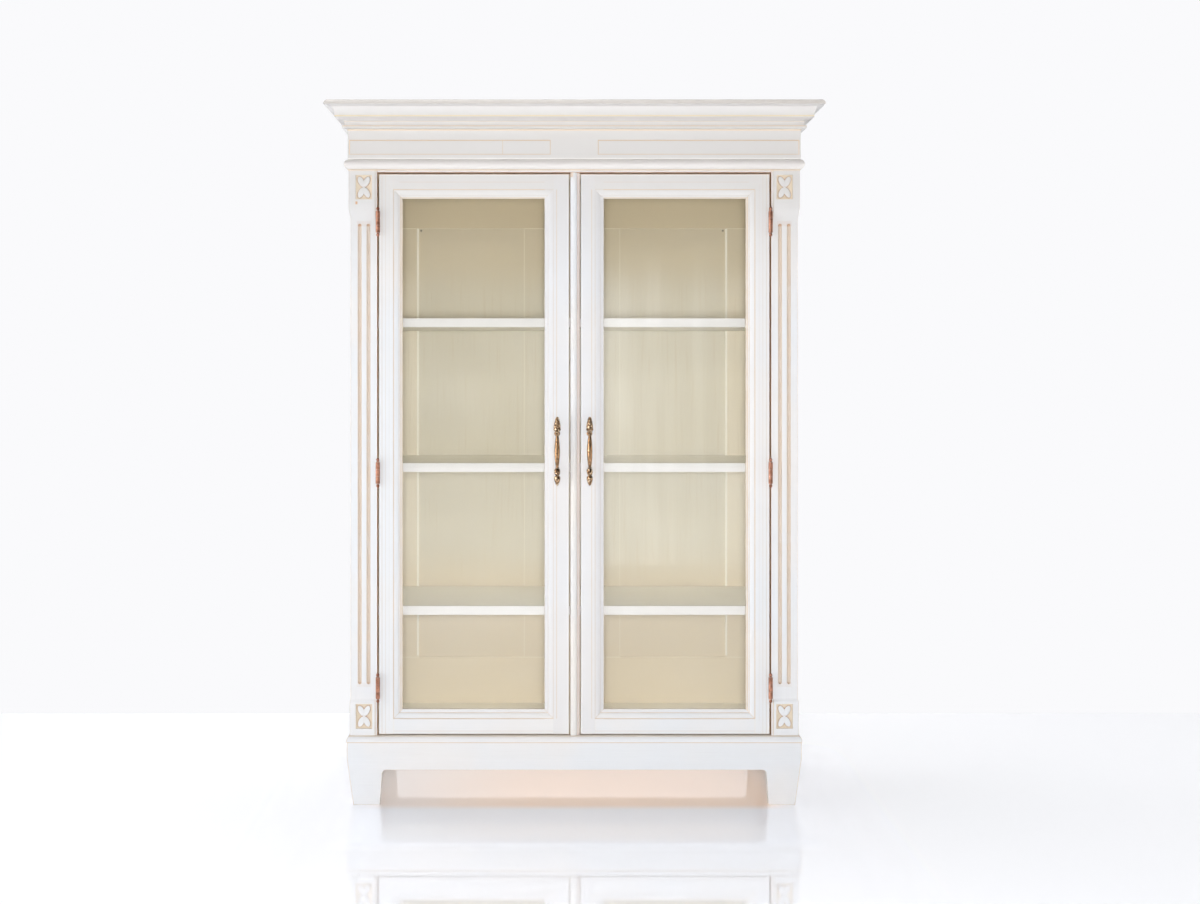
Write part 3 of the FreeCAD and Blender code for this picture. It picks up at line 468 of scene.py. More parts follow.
@dataclass(frozen=True)
class BareWood:
    """Planed softwood that no one sees from the front, darkened with age."""

    name: str
    grain: Way
    pale: Colour = tone(206, 168, 124)
    dark: Colour = tone(160, 112, 70)
    pore: Colour = tone(112, 76, 48)
    drawn_out: float = 0.06
    ring_scale: float = 22.0
    pore_scale: float = 600.0

    def mixed(self) -> Coat:
        """Mix the wood.

        Returns:
            The material.
        """
        pot = Pot(self.name)
        drawn = pot.stretched(pot.place(), self.grain.drawn(self.drawn_out))
        bent = pot.noise(drawn, 9.0, detail=3.0)
        rings = pot.node("ShaderNodeTexWave", {"wave_type": "BANDS", "bands_direction": "DIAGONAL"},
                         {"Vector": drawn, "Scale": self.ring_scale, "Distortion": 5.0, "Detail": 3.0,
                          "Detail Scale": 1.2}, "Fac")
        pores = pot.noise(drawn, self.pore_scale)
        colour = pot.mix(rings * 0.5 + bent * 0.4, self.pale, self.dark)
        colour = pot.mix(pot.rise(pores, 0.6, 0.8) * 0.35, colour, self.pore)
        return pot.coat(colour, 0.6 + pores * 0.2, pot.bump(pores, 0.2, 0.4 * MM))


@dataclass(frozen=True)
class WindowGlass:
    """Clear drawn glass with a faint waviness and a trace of green; its outer face carries both faces' shine."""

    name: str
    tint: Colour = (0.985, 0.99, 0.982, 1.0)
    bend: float = 1.5
    dull: float = 0.03
    dust: float = 0.03
    dust_scale: float = 5.0
    wave_scale: float = 14.0
    wave_high: float = 0.06

    def mixed(self) -> Coat:
        """Mix the glass.

        Returns:
            The material.
        """
        pot = Pot(self.name)
        place = pot.place()
        waves = pot.noise(pot.stretched(place, (1.0, 1.0, 0.12)), self.wave_scale)
        normal = pot.bump(waves, self.wave_high, 2.0 * MM)
        shine = pot.node("ShaderNodeBsdfGlossy", {}, {"Color": WHITE, "Roughness": self.dull, "Normal": normal})
        outer = 1.0 - pot.node("ShaderNodeNewGeometry", output="Backfacing")
        amount = pot.node("ShaderNodeFresnel", {}, {"IOR": self.bend, "Normal": normal}) * 2.0
        dust = pot.rise(pot.noise(place, self.dust_scale, detail=4.0), 0.45, 0.8) * self.dust
        return pot.surface(pot.blend((amount + dust) * outer, pot.clear(self.tint), shine))


@dataclass(frozen=True)
class CastMetal:
    """Cast or pressed metal, dark in its hollows and bright on its ridges, with dark patina spots and bright painted
    glints off its plain part; plain is the smooth part's height, in m.
    """

    name: str
    body: Colour
    bright: Colour
    dark: Colour
    rough: float
    reach: float = 3.0
    ridge_width: float = 0.8
    metal: float = 1.0
    grit_scale: float = 900.0
    cloud_scale: float = 120.0
    patina_and_glint_scale: float = 210.0
    plain: tuple[float, float] = (0.0, 9.0)

    def mixed(self) -> Coat:
        """Mix the metal.

        Returns:
            The material.
        """
        pot = Pot(self.name)
        place = pot.place()
        grit = pot.noise(place, self.grit_scale, detail=4.0, rough=0.6)
        cloud = pot.noise(place, self.cloud_scale, detail=3.0, rough=0.6)
        hollow = pot.rise(pot.open_sky(self.reach * MM), 0.92, 0.5)
        ridge = pot.rise(pot.edges(self.ridge_width * MM), 0.01, 0.12)
        colour = pot.mix(pot.rise(cloud, 0.35, 0.65), self.body, self.dark)
        colour = pot.mix(0.35, colour, self.body)
        colour = pot.mix(hollow * (cloud * 0.4 + 0.7), colour, self.dark)
        colour = pot.mix(ridge * 0.8, colour, self.bright)
        ornate = 1.0 - pot.band(pot.parts(place)[2], *self.plain, 3.0 * MM)
        # Dark patina spots and bright painted glints on the ornate parts, away from the plain grip.
        patina_and_glint_spots = pot.noise(place, self.patina_and_glint_scale)
        colour = pot.mix(ornate * pot.rise(patina_and_glint_spots, 0.50, 0.38) * 0.85, colour, self.dark)
        colour = pot.mix(ornate * pot.rise(patina_and_glint_spots, 0.54, 0.64) * 0.8, colour, self.bright)
        rough = self.rough + grit * 0.14 + hollow * 0.25 - ridge * 0.1
        normal = pot.bump(grit * 0.5 + cloud * 0.5, 0.18, 0.3 * MM)
        return pot.coat(colour, rough, normal, Metallic=self.metal)


# Tools that shape new pieces


class Bench:
    """The hand tools that shape new pieces."""

    same_place: float = 0.00001

    @staticmethod
    def take(*pieces: Piece) -> None:
        """Select these pieces alone, the first one active.

        Args:
            pieces: The pieces wanted.
        """
        bpy.ops.object.select_all(action="DESELECT")
        for piece in pieces:
            piece.select_set(True)
        bpy.context.view_layer.objects.active = pieces[0]

    @staticmethod
    def started(name: str) -> Piece:
        """Name the primitive just added, put its place into its mesh and open it.

        Args:
            name: The piece's name.

        Returns:
            The piece, in edit mode with everything selected.
        """
        piece = bpy.context.object
        piece.name = name
        piece.data.name = name
        Bench.take(piece)
        bpy.ops.object.transform_apply(location=True, rotation=True, scale=True)
        bpy.ops.object.mode_set(mode="EDIT")
        bpy.ops.mesh.select_mode(type="FACE")
        bpy.ops.mesh.select_all(action="SELECT")
        return piece

    @staticmethod
    def choose(piece: Piece, test: Callable[[bmesh.types.BMFace], bool]) -> None:
        """Select the faces that pass a test.

        Args:
            piece: The piece in edit mode.
            test: Says whether a face is wanted.
        """
        bpy.ops.mesh.select_all(action="DESELECT")
        shape = bmesh.from_edit_mesh(piece.data)
        for face in shape.faces:
            if test(face):
                face.select_set(True)
        bmesh.update_edit_mesh(piece.data)

    @staticmethod
    def closed(piece: Piece, angle: float = 35.0) -> Piece:
        """Merge doubles, turn the faces outwards and shade.

        Args:
            piece: The shaped piece.
            angle: The sharpest angle in degrees that is still shaded smooth.

        Returns:
            The same piece.
        """
        Bench.take(piece)
        bpy.ops.object.mode_set(mode="EDIT")
        bpy.ops.mesh.select_all(action="SELECT")
        bpy.ops.mesh.remove_doubles(threshold=Bench.same_place)
        bpy.ops.mesh.normals_make_consistent(inside=False)
        bpy.ops.object.mode_set(mode="OBJECT")
        bpy.ops.object.shade_smooth_by_angle(angle=math.radians(angle))
        return piece

    @staticmethod
    def rounded(piece: Piece, levels: int) -> Piece:
        """Smooth the piece as cast metal or carved wood.

        Args:
            piece: The piece in object mode.
            levels: How many times its faces are divided.

        Returns:
            The same piece.
        """
        Bench.take(piece)
        modifier = piece.modifiers.new("round", "SUBSURF")
        modifier.levels = modifier.render_levels = levels
        bpy.ops.object.modifier_apply(modifier=modifier.name)
        return piece

    @staticmethod
    def turned(name: str, foot: Triple, profile: Profile, sides: int, way: Way = Way.UP,
               twist: float = 0.0) -> Piece:
        """Turn a piece: an end face is drawn out from station to station.

        Args:
            name: The piece's name.
            foot: Where the axis starts, in metres.
            profile: Radius and distance along the axis at each station, in millimetres.
            sides: Facets round the piece.
            way: The axis, up or deep; deep pieces grow towards the front.
            twist: Degrees that each station is turned against the last.

        Returns:
            The piece in edit mode.
        """
        step = Vector((0, 0, 1)) if way is Way.UP else Vector((0, -1, 0))
        tilt = (0.0, 0.0, 0.0) if way is Way.UP else (math.pi / 2, 0.0, 0.0)
        start = Vector(foot) + step * profile[0][1] * MM
        bpy.ops.mesh.primitive_circle_add(vertices=sides, radius=profile[0][0] * MM, fill_type="NGON",
                                          location=start, rotation=tilt)
        piece = Bench.started(name)
        for (last, before), (radius, level) in zip(profile, profile[1:]):
            move = step * (level - before) * MM
            bpy.ops.mesh.extrude_region_move(TRANSFORM_OT_translate={"value": move})
            grow = radius / last
            size = (grow, grow, 1.0) if way is Way.UP else (grow, 1.0, grow)
            centre = Vector(foot) + step * level * MM
            bpy.ops.transform.resize(value=size, center_override=centre)
            if twist:
                axis = "Z" if way is Way.UP else "Y"
                bpy.ops.transform.rotate(value=math.radians(twist), orient_axis=axis, center_override=centre)
        return piece

    @staticmethod
    def whole(piece: Piece, angle: float = 35.0) -> Piece:
        """Leave edit mode and close the piece."""
        bpy.ops.object.mode_set(mode="OBJECT")
        return Bench.closed(piece, angle)

    @staticmethod
    def cast(piece: Piece) -> Piece:
        """Leave edit mode, round the piece as casting does and close it."""
        bpy.ops.object.mode_set(mode="OBJECT")
        return Bench.closed(Bench.rounded(Bench.closed(piece), 2), CAST)

    @staticmethod
    def copied(piece: Piece, name: str, change: Matrix) -> Piece:
        """Copy a piece with its own mesh and move the mesh.

        Args:
            piece: The piece modelled once.
            name: The copy's name.
            change: The move and turn of the mesh.

        Returns:
            The copy.
        """
        other = piece.copy()
        other.data = piece.data.copy()
        other.name = name
        other.data.name = name
        bpy.context.scene.collection.objects.link(other)
        other.data.transform(change)
        return other

    @staticmethod
    def joined(name: str, pieces: Sequence[Piece]) -> Piece:
        """Join pieces into one.

        Args:
            name: The joined piece's name.
            pieces: The pieces, the first of which takes in the others.

        Returns:
            The joined piece.
        """
        Bench.take(*pieces)
        bpy.ops.object.join()
        pieces[0].name = name
        pieces[0].data.name = name
        return pieces[0]

    @staticmethod
    def spread(pattern: Piece, name: str, changes: Sequence[Matrix]) -> Piece:
        """Copy a pattern to several places, join the copies and put the pattern away.

        Args:
            pattern: The piece modelled once, at the origin.
            name: The joined piece's name.
            changes: The move of each copy.

        Returns:
            The joined piece.
        """
        copies = [Bench.copied(pattern, f"{name}_{number}", change) for number, change in enumerate(changes)]
        bpy.data.objects.remove(pattern)
        return Bench.joined(name, copies)

    @staticmethod
    def dressed(piece: Piece, *finishes: Coat) -> Piece:
        """Give a piece its materials.

        Args:
            piece: The piece.
            finishes: Its materials in slot order.

        Returns:
            The same piece.
        """
        piece.data.materials.clear()
        for finish in finishes:
            piece.data.materials.append(finish)
        return piece


def looks_front(face: bmesh.types.BMFace) -> bool:
    """Whether a face looks mainly to the front."""
    return face.normal.y < -0.5


def moved(across: float, deep: float, level: float) -> Matrix:
    """A move by millimetres."""
    return Matrix.Translation((across * MM, deep * MM, level * MM))


def dress_node(node: str, finish: Coat) -> None:
    """Give a CAD node its material.

    Args:
        node: The node's name.
        finish: The material.
    """
    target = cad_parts[node]
    for slot in target.material_slots:
        slot.material = finish
    LOG.info("dressed %s with %s", node, finish.name)


# Wear and glaze lines of each piece, with painted shade and painted highlights, in millimetres: corners or heights,
# tint, strength and softness


# Painted shade: the outside greys from about 1440 mm to full strength at 1840 mm and above, standing in for light that
# falls off towards the top; the crown returns' copy is lighter.
UPPER_SHADE = Mark((-ANY, -ANY, 1640), (ANY, ANY, ANY), tone(203, 200, 197), 0.85, 200.0, even=True)
UPPER_SHADE_RETURN = Mark((-ANY, -ANY, 1640), (ANY, ANY, ANY), tone(216, 214, 212), 0.85, 200.0, even=True)
CROWN_LINES = (
    # Mouldings of the crown, from the top down
    Mark.line(1997.2, ANY, tone(172, 164, 158), 0.8, 0.8),
    Mark.line(1987.0, 1997.2, tone(204, 198, 192), 0.8, 0.8),
    Mark.line(1955.8, 1959.8, tone(216, 200, 162), 0.75, 0.6),
    Mark.line(1949.5, 1954.0, tone(208, 204, 201), 0.7, 1.0),
    Mark.line(1944.5, 1947.0, tone(200, 186, 172), 0.6, 0.6),
    Mark.line(1931.2, 1933.6, tone(212, 188, 156), 0.9, 0.5),
    Mark.line(1920.8, 1924.6, tone(214, 196, 172), 0.8, 0.6),
    # Rims of the long panels in the frieze, and a joint
    Mark((68, -ANY, 1892.2), (639, ANY, 1894.8), tone(196, 170, 136), 0.85),
    Mark((68, -ANY, 1852.8), (639, ANY, 1855.2), tone(204, 182, 152), 0.75),
    Mark((67, -ANY, 1853), (69.4, ANY, 1894), tone(200, 176, 142), 0.75),
    Mark((637.6, -ANY, 1853), (640, ANY, 1894), tone(218, 196, 164), 0.7),
    Mark((-205, -ANY, 1853), (-202.6, ANY, 1894), tone(204, 182, 150), 0.5, 0.6, mirrored=False),
    # Bead, painted lighter than the painted shade above it and lighter still along its top, a painted highlight; and
    # the gap over the doors
    Mark.line(1812, 1838, tone(214, 210, 207), 0.85, 2.0),
    Mark.line(1836, 1843, tone(240, 237, 234), 0.9, 1.5),
    Mark.line(1808.8, 1811.6, tone(214, 194, 170), 0.75, 0.6),
    Mark.line(1801.2, 1804.0, GAP, 0.9, 0.3),
)
BASE_LINES = (
    Mark.line(180.6, 182.6, tone(204, 184, 158), 0.85, 0.5, even=False),
    Mark.line(197.0, 201.0, tone(208, 190, 168), 0.6, 0.8, even=False),
)
PILASTER_WEAR = (
    # Flutes and their ends, the gap at the hinges, a bare spot, the edge under the bead
    Mark((578.5, -174.9, 338), (619, -150, 1665), tone(207, 190, 172), 0.85, 0.4),
    Mark((578.5, -174.9, 1650), (619, -150, 1665), FLUTE_END, 0.7, 2.0),
    Mark((578.5, -174.9, 338), (619, -150, 350), FLUTE_END, 0.45, 2.0),
    Mark((559.5, -176.2, 190), (561.5, -100, 1810), GAP, 0.95, 0.15, even=True),
    Mark((-622.5, -190, 1712), (-616.5, -176, 1720), tone(210, 156, 92), 0.8, 1.6, mirrored=False),
    Mark((560, -190, 1806.5), (650, -150, 1811), tone(212, 194, 170), 0.6, 0.8),
)
# White filler over the joints of stiles and rails
FILLED_JOINTS = tuple(
    Mark((across, -174.5, low), (across + 5, -173, high), tone(220, 219, 218), 0.95, 0.3, even=True)
    for across in (57.0, 512.5) for low, high in ((204, 245), (1757, 1797.5)))
STILE_WEAR_AND_SHADE = (
    # Painted shade: grey over the meeting side of each door, dimming it to the hinge side's level; the gap at the
    # hinges
    Mark((20, -176, 190), (96, -150, 1810), tone(206, 205, 207), 0.5, 12.0, even=True),
    Mark((555.9, -175.0, 190), (558.2, -150, 1810), GAP, 0.95, 0.15, even=True),
    # Faint lines of painted shade where shallow mouldings are not modelled, and rubbed moulding edges, from the hinges
    # inwards; the gap over the door
    Mark((546.6, -176, 190), (548.6, -172, 1810), FAINT_SHADE, 0.6),
    Mark((536.8, -176, 190), (538.6, -172, 1810), FAINT_SHADE, 0.45),
    Mark((526.6, -176, 240), (528.0, -172, 1770), FAINT_SHADE, 0.3),
    Mark((514.0, -176, 247), (516.4, -160, 1755), RUB, 0.35, 0.6),
    Mark((493.4, -176, 262), (496.4, -150, 1736), RUB, 0.75, 0.6),
    Mark((48.8, -176, 247), (51.2, -160, 1755), RUB, 0.5, 0.6),
    Mark((489.0, -176, 262), (492.4, -150, 1736), RUB, 0.6, 0.6),
    Mark((10, -175.0, 1797.8), (560, -150, 1801), GAP, 0.9, 0.3, even=True),
    Mark((84.2, -176, 262), (87.6, -160, 1736), RUB, 0.55, 0.6),
)
RAIL_LINES = (
    Mark((40, -175.0, 1797.8), (560, -150, 1801), GAP, 0.9, 0.3, even=True),
    # Faint lines of painted shade where shallow mouldings are not modelled
    Mark((84, -176, 1775), (498, -172, 1777), FAINT_SHADE, 0.5),
    Mark((84, -176, 244.8), (498, -172, 246.8), FAINT_SHADE, 0.5),
    Mark((40, -176, 210.6), (548, -172, 212.6), FAINT_SHADE, 0.45),
    Mark((84, -176, 1753.5), (520, -160, 1756.0), RUB, 0.6, 0.6),
    Mark((84, -176, 1731), (520, -150, 1734), RUB, 0.6, 0.6),
)
POST_WEAR_AND_SHADE = (
    # The groove left of the bead; the sunk flat right of it, greyed as painted shade; a rubbed top
    Mark((-13.2, -ANY, 190), (-10.6, ANY, 1810), tone(170, 142, 126), 0.8, 0.3, mirrored=False),
    Mark((8.6, -ANY, 190), (21.0, ANY, 1810), tone(208, 194, 188), 0.85, 0.6, mirrored=False),
    Mark((-12, -ANY, 1790), (-3, ANY, 1806), tone(204, 166, 128), 0.6, 2.5, mirrored=False),
)
# Painted highlight: a pale line down the edge of each back stile, where its arris catches the light.
BACK_ARRIS_HIGHLIGHT = Mark((480.5, -ANY, 345), (486.5, ANY, 1684), tone(255, 252, 242), 0.8, 0.6)
# A small dark dot near the top corner of each back panel.
BACK_CORNER_DOT = Mark((471.0, -ANY, 1675.5), (476.5, ANY, 1681.0), tone(104, 100, 92), 0.85, 1.0)


class Paints:
    """Every finish of the cabinet, mixed once."""

    def __init__(self) -> None:
        """Mix every finish."""
        self.crown = AntiquePaint("paint_crown", Way.ACROSS, edge_strength=0.3, hollow_strength=0.12, strokes=0.03,
                                  marks=(UPPER_SHADE, *CROWN_LINES)).mixed()
        # Painted highlight: the crown's returns are a lighter copy of the crown's paint, standing in for the light on
        # their sides and undersides.
        self.crown_return_lit = AntiquePaint("paint_crown_return_lit", Way.DEEP, edge_strength=0.3, hollow_strength=0.15,
                                         body=tone(232, 231, 230), cool=tone(230, 231, 233),
                                         marks=(UPPER_SHADE_RETURN, *CROWN_LINES)).mixed()
        self.base = AntiquePaint("paint_base", Way.ACROSS, marks=BASE_LINES).mixed()
        self.base_return = AntiquePaint("paint_base_return", Way.DEEP, marks=BASE_LINES).mixed()
        self.upright = AntiquePaint("paint_upright", Way.UP, marks=(UPPER_SHADE,)).mixed()
        self.pilaster = AntiquePaint("paint_pilaster", Way.UP, marks=(UPPER_SHADE, *PILASTER_WEAR)).mixed()
        self.carving = AntiquePaint("paint_carving", Way.UP, edge_strength=0.3, hollow_strength=0.35,
                                    hollow_reach=2.0, marks=(UPPER_SHADE,)).mixed()
        self.ground = AntiquePaint("paint_ground", Way.UP, body=tone(212, 196, 172), cool=tone(216, 202, 180),
                                   hollow_strength=0.95, glaze=tone(172, 120, 76), hollow_reach=3.0,
                                   edge_strength=0.2).mixed()
        self.stile = AntiquePaint("paint_stile", Way.UP, marks=(*FILLED_JOINTS, UPPER_SHADE, *STILE_WEAR_AND_SHADE)).mixed()
        self.rail = AntiquePaint("paint_rail", Way.ACROSS, marks=(*FILLED_JOINTS, UPPER_SHADE, *RAIL_LINES)).mixed()
        self.post = AntiquePaint("paint_post", Way.UP, body=tone(224, 220, 215), marks=POST_WEAR_AND_SHADE).mixed()
        # The back's top rail is painted darker tan: partly its own tone, partly painted shade at the top of the bays.
        self.inside_top = InsidePaint("inside_top", Way.ACROSS, tone(216, 202, 172), tone(210, 195, 165)).mixed()
        self.inside_across = InsidePaint("inside_across", Way.ACROSS).mixed()
        # The outer back stiles (inside_frame) are painted lighter than the back panels, partition and middle stile
        # (inside_upright): a painted highlight that makes up for the shade the door stiles cast on them.
        self.inside_upright = InsidePaint("inside_upright", Way.UP, tone(227, 221, 207), tone(222, 215, 198),
                                          marks=(BACK_CORNER_DOT,)).mixed()
        self.inside_frame = InsidePaint("inside_frame", Way.UP, tone(239, 230, 213), tone(234, 224, 204),
                                        marks=(BACK_ARRIS_HIGHLIGHT,)).mixed()
        # Painted highlight: the shelves are painted lighter than the other inside boards, since their tops catch
        # little light.
        self.shelf = InsidePaint("inside_shelf", Way.ACROSS, tone(250, 246, 234), tone(247, 241, 226),
                                 front_edge=-0.1456, low_shade_below=-1.0).mixed()
        self.wood = BareWood("bare_across", Way.ACROSS).mixed()
        self.glass = WindowGlass("window_glass").mixed()
        self.brass = CastMetal("aged_brass", tone(188, 150, 114), tone(255, 234, 200), tone(48, 28, 16),
                               rough=0.18, plain=(0.963, 1.058)).mixed()
        self.bronze = CastMetal("worn_bronze", tone(192, 138, 114), tone(248, 220, 204), tone(92, 54, 38),
                                rough=0.3, metal=0.85).mixed()
        self.steel = CastMetal("bright_steel", tone(186, 186, 184), tone(220, 220, 220), tone(96, 96, 96),
                               rough=0.25).mixed()


# Sub-assemblies


@dataclass(frozen=True)
class Carcass:
    """Crown, frieze, bead, base, sides and the bays' inside: CAD nodes with their paint."""

    shelf_levels: tuple[str, ...] = ("lower", "middle", "upper")

    def dress(self, paints: Paints) -> None:
        """Give every fixed board its finish.

        Args:
            paints: The finishes.
        """
        single = (
            (paints.crown, ("crown_front", "frieze_front", "bead_front", "top_rail")),
            (paints.base, ("base_front", "base_back")),
            (paints.post, ("centre_post",)),
            (paints.wood, ("dust_board", "glue_blocks")),
            (paints.inside_top, ("back_top_rail",)),
            (paints.shelf, ("bottom_board",)),
            (paints.inside_across, ("top_board", "back_bottom_rail")),
            (paints.inside_upright, ("partition", "back_middle_stile")),
            (paints.steel, ("shelf_pegs", "door_catches")),
            (paints.bronze, ("hinge_frame_leaves",)),
        )
        paired = (
            (paints.crown_return_lit, ("crown", "frieze", "bead")),
            (paints.base_return, ("base",)),
            (paints.pilaster, ("pilaster",)),
            (paints.upright, ("side_panel",)),
            (paints.inside_frame, ("back_stile",)),
            (paints.inside_upright, ("back_panel",)),
        )
        for coat, nodes in single:
            for node in nodes:
                dress_node(node, coat)
        for side in Side:
            for coat, parts in paired:
                for part in parts:
                    dress_node(f"{part}_{side.word}", coat)
            for level in self.shelf_levels:
                dress_node(f"shelf_{side.word}_{level}", paints.shelf)


@dataclass(frozen=True)
class CarvedTile:
    """A carved tile: a dark glazed ground with four pointed white petals and a small boss."""

    width: float = 45.4
    height: float = 68.4
    ground_thick: float = 1.5
    reach: tuple[float, float] = (15.0, 30.5)
    petal_sides: int = 12
    petal_half: float = 9.0
    petal_rise: float = 3.4
    sunk: float = 1.0
    first_rise: float = 0.5
    steps: tuple[tuple[float, float], ...] = ((0.9, 0.35), (2.2, 0.15))
    border: tuple[float, float, float] = (1.6, 1.0, 0.5)
    boss_sides: int = 16
    boss: Profile = ((3.0, 0), (3.0, 3.2), (2.3, 3.6), (1.3, 4.1), (0.4, 4.3))

    def petal(self, lean: float, length: float) -> Piece:
        """Carve one petal at the origin, from the middle towards a corner.

        Args:
            lean: The petal's angle above level, in radians.
            length: From the middle to the petal's point, in millimetres.

        Returns:
            The petal, its back on the plane Y = 0.
        """
        bpy.ops.mesh.primitive_circle_add(vertices=self.petal_sides, radius=1.0, fill_type="NGON",
                                          rotation=(math.pi / 2, 0, 0))
        piece = Bench.started("petal")
        half = length / 2
        bpy.ops.transform.resize(value=(half * MM, 1.0, self.petal_half * MM), center_override=(0, 0, 0))
        bpy.ops.transform.translate(value=(half * MM, 0, 0))
        rise = self.petal_rise * MM
        bpy.ops.mesh.extrude_region_move(TRANSFORM_OT_translate={"value": (0, -rise * self.first_rise, 0)})
        for inset, lift in self.steps:
            bpy.ops.mesh.inset(thickness=inset * MM)
            bpy.ops.transform.translate(value=(0, -rise * lift, 0))
        bpy.ops.object.mode_set(mode="OBJECT")
        Bench.rounded(Bench.closed(piece), 1)
        piece.data.transform(Matrix.Rotation(-lean, 4, "Y"))
        return Bench.closed(piece, CARVED)

    def ground(self) -> Piece:
        """Make the tile's ground with its eased border.

        Returns:
            The ground, its back on the plane Y = 0.
        """
        size = (self.width * MM, self.ground_thick * MM, self.height * MM)
        bpy.ops.mesh.primitive_cube_add(size=1.0, location=(0, -size[1] / 2, 0), scale=size)
        piece = Bench.started("ground")
        Bench.choose(piece, looks_front)
        margin, slope, depth = self.border
        bpy.ops.mesh.inset(thickness=margin * MM, depth=0.0)
        bpy.ops.mesh.inset(thickness=slope * MM, depth=-depth * MM)
        return Bench.whole(piece)

    def build(self, paints: Paints) -> Piece:
        """Carve one tile at the origin.

        Args:
            paints: The finishes.

        Returns:
            The tile, its back on the plane Y = 0.
        """
        lean = math.atan2(self.reach[1], self.reach[0])
        length = math.hypot(*self.reach)
        parts = [self.petal(angle, length) for angle in (lean, math.pi - lean, math.pi + lean, -lean)]
        parts.append(Bench.whole(Bench.turned("boss", (0, 0, 0), self.boss, self.boss_sides, Way.DEEP), CARVED))
        for part in parts:
            part.data.transform(moved(0, -self.sunk, 0))
            Bench.dressed(part, paints.carving)
        ground = Bench.dressed(self.ground(), paints.ground)
        return Bench.joined("tile", [ground, *parts])


@dataclass(frozen=True)
class TileSet:
    """The four carved tiles in the pilasters' blocks."""

    middle_x: float = 598.6
    backs: tuple[tuple[float, float], ...] = ((1761.0, -176.0), (254.6, -173.2))

    def build(self, paints: Paints) -> None:
        """Carve one tile and copy it into the four recesses.

        Args:
            paints: The finishes.
        """
        places = [moved(side.value * self.middle_x, back, level) for side in Side for level, back in self.backs]
        made = Bench.spread(CarvedTile().build(paints), "carved_petal_tiles", places)
        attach(made, "carcass")
        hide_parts("carved_tiles")
        LOG.info("built %s", made.name)


